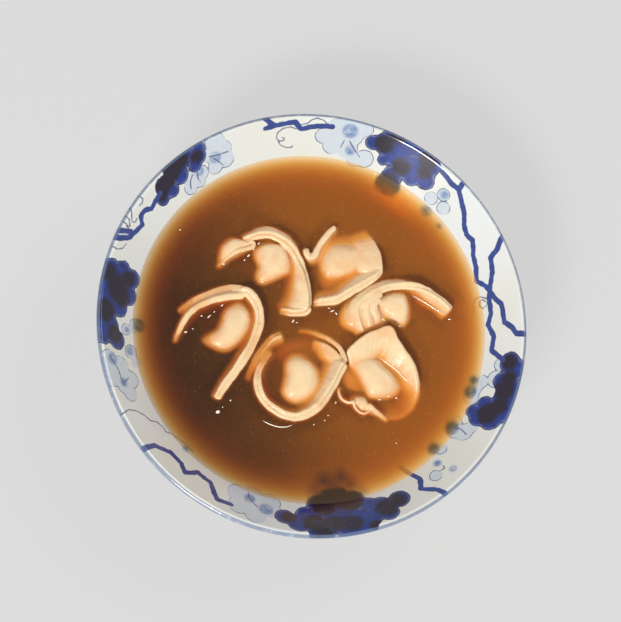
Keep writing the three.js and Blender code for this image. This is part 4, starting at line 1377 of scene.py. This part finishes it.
class TORTELLINI_OT_broth(bpy.types.Operator):
    """Fill the bowl with broth that creeps up the pasta and the wall"""

    bl_idname = "tortellini.broth"
    bl_label = "Broth"

    def execute(self, context):
        settings = context.scene.tortellini_broth
        level = settings.level
        edge_radius = inner_radius(LEVEL) * MM
        outer = edge_radius + 1.1 * MM
        deselect_all()
        cells = {"x_subdivisions": BROTH_CELLS, "y_subdivisions": BROTH_CELLS}
        bpy.ops.mesh.primitive_grid_add(size=2 * outer, **cells)
        broth = bpy.context.object
        broth.name = "brown_broth"
        with editing(broth):
            mesh = bmesh.from_edit_mesh(broth.data)
            outside = [v for v in mesh.verts if math.hypot(v.co.x, v.co.y) > outer - 0.1 * MM]
            bmesh.ops.delete(mesh, geom=outside, context="VERTS")
            for vertex in mesh.verts:
                if any(edge.is_boundary for edge in vertex.link_edges):
                    stretch = outer / math.hypot(vertex.co.x, vertex.co.y)
                    vertex.co.x *= stretch
                    vertex.co.y *= stretch
            bmesh.update_edit_mesh(broth.data)
        self.shape_surface(broth, settings, level, edge_radius)
        self.note_beneath_and_shade(broth)
        self.close_body(broth, outer)
        pick(broth)
        bpy.ops.object.shade_smooth_by_angle(angle=math.radians(35))
        broth.data.materials.append(broth_material(settings))
        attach(broth, "root")
        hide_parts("broth")
        return {"FINISHED"}

    def shape_surface(self, broth, settings, level, edge_radius):
        """Raises the surface where it wets the wall and the pasta."""
        wet = [waterline(thing, level) for thing in bpy.data.objects if thing.name.startswith("folded_")]
        wet = np.concatenate(wet)
        tree = tree_of(wet)
        at = places(broth)
        near = np.array([tree.find((x, y, level))[2] for x, y, _ in at])
        rise = settings.creep * np.exp(-near / settings.reach)
        from_wall = np.maximum(edge_radius - np.hypot(at[:, 0], at[:, 1]), 0)
        rise += 1.1 * settings.creep * np.exp(-from_wall / (1.3 * settings.reach))
        at[:, 2] = level + rise
        set_places(broth, at)

    def note_beneath_and_shade(self, broth):
        """Writes how clearly each place shows what lies under it, how closed in by pasta it is for the
        painted shade between pieces, and the paint.
        """
        pasta = [thing for thing in bpy.data.objects if thing.name.startswith("folded_")]
        depsgraph = bpy.context.evaluated_depsgraph_get()
        blockers = [BVHTree.FromObject(thing, depsgraph) for thing in pasta]
        at = places(broth)
        radius = np.minimum(np.hypot(at[:, 0], at[:, 1]) / MM, inner_radius(LEVEL))
        out = np.clip(radius - FLOOR_RADIUS, 0, None)
        depth = LEVEL - (FLOOR_HEIGHT + INNER_ARC - np.sqrt(INNER_ARC**2 - out**2))
        pasta_shade = np.zeros(len(at))
        down = Vector((0, 0, -1))
        turns = np.arange(PASTA_SHADE_WAYS) * math.tau / PASTA_SHADE_WAYS
        ways = [Vector((math.cos(turn), math.sin(turn), 0.35)).normalized() for turn in turns]
        for i in np.flatnonzero(radius < PASTA_REACH):
            x, y, z = at[i]
            for tree in blockers:
                hit = tree.ray_cast(Vector((x, y, z + 6 * MM)), down, 16 * MM)[0]
                if hit:
                    depth[i] = min(depth[i], max((z - hit.z) / MM, 0))
            # Painted shade: the share of low rays that pasta blocks, to darken the broth between pieces
            if depth[i] > 0:
                start = Vector((x, y, z + 0.3 * MM))
                reach = PASTA_SHADE_REACH * MM
                blocked = [any(tree.ray_cast(start, way, reach)[0] for tree in blockers) for way in ways]
                pasta_shade[i] = sum(blocked) / len(ways)
        clear = self.soften(broth, np.exp(-((depth / CLEAR_DEPTH) ** 1.6)), 2)
        pasta_shade = self.soften(broth, pasta_shade, 6)
        v = (np.arcsin(np.clip(out / INNER_ARC, 0, 1)) - WALL_ANGLE) * INNER_ARC
        u = (np.degrees(np.arctan2(at[:, 1], at[:, 0])) % 360) * MM_PER_DEGREE
        ink = np.minimum(
            to_rounds(DARK_LEAVES["lobes"] + LIGHT_LEAVES["patches"], u, v, 1.0),
            0.5 * to_rounds(SUNK_LOBES, u, v, 3.0) + 1,
            to_lines(BRANCHES, u, v) - BRANCH_HALF,
        )
        paint = np.clip(0.5 - ink / 2.4, 0, 1)
        set_attribute(broth, "beneath_and_shade", np.stack([clear, pasta_shade, paint], axis=1))

    def soften(self, thing, values, times):
        """Spreads values to the neighbouring vertices."""
        first, second = edge_ends(thing).T
        count = np.bincount(first, minlength=len(values)) + np.bincount(second, minlength=len(values)) + 1
        for _ in range(times):
            total = values.copy()
            np.add.at(total, first, values[second])
            np.add.at(total, second, values[first])
            values = total / count
        return values

    def close_body(self, broth, outer):
        """Draws the surface's edge down inside the bowl's wall and shuts it under the floor's glaze."""
        with editing(broth, "DESELECT"):
            bpy.ops.mesh.select_mode(type="EDGE")
            mesh = bmesh.from_edit_mesh(broth.data)
            for edge in mesh.edges:
                edge.select_set(edge.is_boundary)
            height = next(vertex.co.z for vertex in mesh.verts if vertex.select)
            bmesh.update_edit_mesh(broth.data)
            before = outer
            for z in (25.2, 24, 22, 20, 18, 16, 14, 12.4, 11.4, FLOOR_HEIGHT - UNDER_GLAZE):
                radius = (inner_radius(max(z, FLOOR_HEIGHT)) + UNDER_GLAZE) * MM
                bpy.ops.mesh.extrude_region_move(TRANSFORM_OT_translate={"value": (0, 0, z * MM - height)})
                growth = radius / before
                bpy.ops.transform.resize(value=(growth, growth, 1), center_override=(0, 0, 0))
                before, height = radius, z * MM
            bpy.ops.mesh.edge_face_add()
            bpy.ops.mesh.select_all(action="SELECT")
            bpy.ops.mesh.normals_make_consistent(inside=False)


# Painted highlights: small pale drops where the broth glints, as (x, y, length, width, turn in degrees), and
# pale lines where the broth wets pasta

GLINT_DROPS = [
    (-18.8, 29.2, 1.2, 0.5, 50), (-20.6, 26.8, 0.7, 0.4, 50), (-22.4, 24.6, 1.3, 0.6, 45),
    (-23.8, 22.9, 0.8, 0.5, 40), (-31.2, 21.2, 1, 0.6, 0), (-17.4, 15.3, 1.1, 0.6, 30),
    (-36, 2.2, 1.6, 0.5, 45), (-34.2, 3.9, 0.8, 0.4, 45), (-31.5, 6.3, 1.1, 0.5, 45),
    (-38.6, 2.3, 0.8, 0.5, 20), (-44, -3.6, 1.2, 0.6, 10), (-41.6, -2.4, 0.6, 0.4, 0),
    (7.4, 5.6, 1.6, 0.5, 20), (8.8, 4.7, 1.2, 0.5, -60), (6.2, 6.6, 0.9, 0.4, -20),
    (-6.5, 1.5, 1.4, 0.6, 60), (-5.2, 1, 0.7, 0.4, 0), (-32.5, -31.3, 1.5, 1.2, 20),
    (-30.9, -29.6, 0.5, 0.4, 0), (-28.2, -27.2, 0.7, 0.5, 60), (8.5, -27, 0.9, 0.5, 70),
    (4.6, -33.4, 0.7, 0.4, 40), (0.8, -34.9, 0.7, 0.4, 30), (5.8, -31.6, 0.6, 0.4, 60),
    (24, -25.6, 0.9, 0.5, 0), (27.2, -24.4, 1.1, 0.5, 20), (30, -24.9, 0.9, 0.5, -20),
    (25.6, 3.1, 1.6, 0.5, -25), (31.5, 0.9, 1.1, 0.6, 10), (49.6, 4, 0.8, 0.5, 0),
    (29.8, -40.8, 0.6, 0.4, 80), (-46.6, 33, 0.7, 0.4, 0),
]
HIGHLIGHT_LINES = [
    [(-17, -34), (-14.4, -35.2), (-11.4, -36), (-8.6, -35.9), (-6.6, -35.2)],
    [(23.8, -10.5), (27, -12.6), (30.4, -15.1), (33, -17.9), (35.2, -19.4), (36.6, -19.8)],
    [(36, 12.3), (40, 10.2), (44, 7.8), (47.6, 5.4)],
]


class TORTELLINI_OT_glints(bpy.types.Operator):
    """Float small pale drops and lines on the broth, as painted highlights where it glints"""

    bl_idname = "tortellini.drops"
    bl_label = "Fat drops"

    def execute(self, context):
        settings = context.scene.tortellini_drops
        at_level = BROTH_LEVEL + settings.above
        parts = []
        for x, y, length, width, turn in GLINT_DROPS:
            deselect_all()
            place = (x * MM, y * MM, at_level)
            bpy.ops.mesh.primitive_uv_sphere_add(segments=10, ring_count=6, radius=1, location=place)
            drop = bpy.context.object
            drop.scale = (length / 2 * MM, width / 2 * MM, settings.thickness)
            drop.rotation_euler.z = math.radians(turn)
            parts.append(drop)
        for number, points in enumerate(HIGHLIGHT_LINES):
            line = smooth_line(points, np.linspace(0, len(points) - 1, 12 * len(points)))
            line = np.concatenate([line, np.zeros((len(line), 1))], axis=1)
            way = directions(line)
            share = np.linspace(0, 1, len(line))
            half = 0.5 * settings.line_width * np.sqrt(np.sin(np.clip(share, 0.01, 0.99) * math.pi))
            turn = np.arange(8) * math.tau / 8
            sections = []
            for place, (dx, dy, _), reach in zip(line, way, half):
                across = np.array([-dy, dx, 0])
                up = np.array([0, 0, reach])
                ring = np.cos(turn)[:, None] * across * reach + np.sin(turn)[:, None] * up
                sections.append(place * MM + ring + np.array([0, 0, at_level]))
            parts.append(rolled_sheet(f"bright_line_{number}", np.array(sections)))
        drops = join("fat_drops", parts)
        bpy.ops.object.transform_apply(location=True, rotation=True, scale=True)
        bpy.ops.object.shade_smooth()
        # Painted highlight: a pale glossy colour stands in for glints on the broth
        material, tree = new_material("painted_highlight_gloss")
        gloss = {"Roughness": 0.2, "Coat Weight": 1.0, "Coat Roughness": 0.02}
        principled(tree, {"Base Color": (*settings.colour, 1), **gloss})
        drops.data.materials.clear()
        drops.data.materials.append(material)
        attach(drops, "root")
        return {"FINISHED"}


# The stage. The camera's tilt and distance were fitted to the outlines of the rim and the broth

WINDOW_AZIMUTH = 238
LAMP_COLOUR = (1.0, 0.98, 0.95)
CAMERA_TILT = math.radians(15.45)
CAMERA_AWAY = math.radians(32.48)
CAMERA_DISTANCE = 560.0
RIM_PIXELS = 217.8
RIM_CENTRE_PIXEL = (315.94, 319.43)
IMAGE_SIZE = (621, 622)
SENSOR = 36.0


def add_camera():
    """A camera that looks down into the bowl as the photograph does."""
    away = Vector((math.sin(CAMERA_AWAY), math.cos(CAMERA_AWAY), 0))
    look = away * math.sin(CAMERA_TILT) + Vector((0, 0, -math.cos(CAMERA_TILT)))
    up = (Vector((0, 1, 0)) - look * look.y).normalized()
    right = look.cross(up)
    focal = RIM_PIXELS * CAMERA_DISTANCE / RIM_RADIUS
    off_x = (RIM_CENTRE_PIXEL[0] - IMAGE_SIZE[0] / 2) / focal * CAMERA_DISTANCE
    off_y = (IMAGE_SIZE[1] / 2 - RIM_CENTRE_PIXEL[1]) / focal * CAMERA_DISTANCE
    eye = Vector((0, 0, BOWL_HEIGHT)) - look * CAMERA_DISTANCE - right * off_x - up * off_y
    camera = bpy.data.objects.new("camera", bpy.data.cameras.new("camera"))
    camera.data.lens = SENSOR * focal / max(IMAGE_SIZE)
    camera.data.sensor_width = SENSOR
    camera.matrix_world = Matrix.Translation(eye * MM) @ Matrix((right, up, -look)).transposed().to_4x4()
    bpy.context.scene.collection.objects.link(camera)
    bpy.context.scene.camera = camera


def add_area_light(name, azimuth, elevation, distance, size, power):
    """A rectangular lamp that faces the bowl."""
    turn, rise = math.radians(azimuth), math.radians(elevation)
    towards = Vector((math.cos(turn) * math.cos(rise), math.sin(turn) * math.cos(rise), math.sin(rise)))
    lamp = bpy.data.lights.new(name, type="AREA")
    lamp.shape = "RECTANGLE"
    lamp.size, lamp.size_y = size
    lamp.energy = power
    lamp.color = LAMP_COLOUR
    holder = bpy.data.objects.new(name, lamp)
    holder.location = towards * distance + Vector((0, 0, LEVEL * MM))
    holder.rotation_euler = towards.to_track_quat("Z", "Y").to_euler()
    bpy.context.scene.collection.objects.link(holder)


class TORTELLINI_OT_stage(bpy.types.Operator):
    """Set the floor, the lamps and the camera"""

    bl_idname = "tortellini.stage"
    bl_label = "Stage"

    def execute(self, context):
        settings = context.scene.tortellini_stage
        add_camera()
        deselect_all()
        bpy.ops.mesh.primitive_plane_add(size=6.0, location=(0, 0, 0))
        floor = bpy.context.object
        floor.name = "floor"
        material, tree = new_material("pale_floor")
        inputs = {
            "Base Color": (*settings.table, 1),
            "Roughness": 0.9,
            "Emission Color": (1, 1, 1, 1),
            "Emission Strength": settings.glow,
        }
        principled(tree, inputs)
        floor.data.materials.append(material)
        world = bpy.data.worlds.new("studio")
        world.use_nodes = True
        background = world.node_tree.nodes["Background"].inputs
        background["Color"].default_value = (1.0, 0.985, 0.96, 1)
        background["Strength"].default_value = settings.sky
        context.scene.world = world
        add_area_light("window", WINDOW_AZIMUTH, 37, 2.4, (0.7, 0.46), settings.window_power)
        add_area_light("fill", 40, 42, 2.2, (1.4, 1.0), settings.fill_power)
        context.scene.view_settings.view_transform = "Standard"
        return {"FINISHED"}


class TORTELLINI_PT_panel(bpy.types.Panel):
    """The panel that lists each piece and its settings"""

    bl_idname = "TORTELLINI_PT_panel"
    bl_label = "Tortellini in Broth"
    bl_space_type = "VIEW_3D"
    bl_region_type = "UI"
    bl_category = "Tortellini"

    def draw(self, context):
        for operator, group in PIECES:
            box = self.layout.box()
            box.operator(operator.bl_idname)
            settings = getattr(context.scene, group)
            for name in settings.bl_rna.properties.keys():
                if name not in ("rna_type", "name"):
                    box.prop(settings, name)


PIECES = [
    (TORTELLINI_OT_stage, "tortellini_stage"),
    (TORTELLINI_OT_bowl, "tortellini_bowl"),
    (TORTELLINI_OT_pasta, "tortellini_pasta"),
    (TORTELLINI_OT_broth, "tortellini_broth"),
    (TORTELLINI_OT_glints, "tortellini_drops"),
]
GROUPS = {
    "tortellini_stage": StageSettings,
    "tortellini_bowl": BowlSettings,
    "tortellini_pasta": PastaSettings,
    "tortellini_broth": BrothSettings,
    "tortellini_drops": GlintSettings,
}
CLASSES = [*GROUPS.values(), *(operator for operator, _ in PIECES), TORTELLINI_PT_panel]


def register():
    for cls in CLASSES:
        bpy.utils.register_class(cls)
    for name, group in GROUPS.items():
        setattr(bpy.types.Scene, name, bpy.props.PointerProperty(type=group))


def unregister():
    for name in GROUPS:
        delattr(bpy.types.Scene, name)
    for cls in reversed(CLASSES):
        bpy.utils.unregister_class(cls)


def main():
    register()
    bpy.ops.tortellini.stage()
    bpy.ops.tortellini.bowl()
    bpy.ops.tortellini.pasta()
    bpy.ops.tortellini.broth()
    bpy.ops.tortellini.drops()
    deselect_all()


if __name__ == "__main__":
    main()
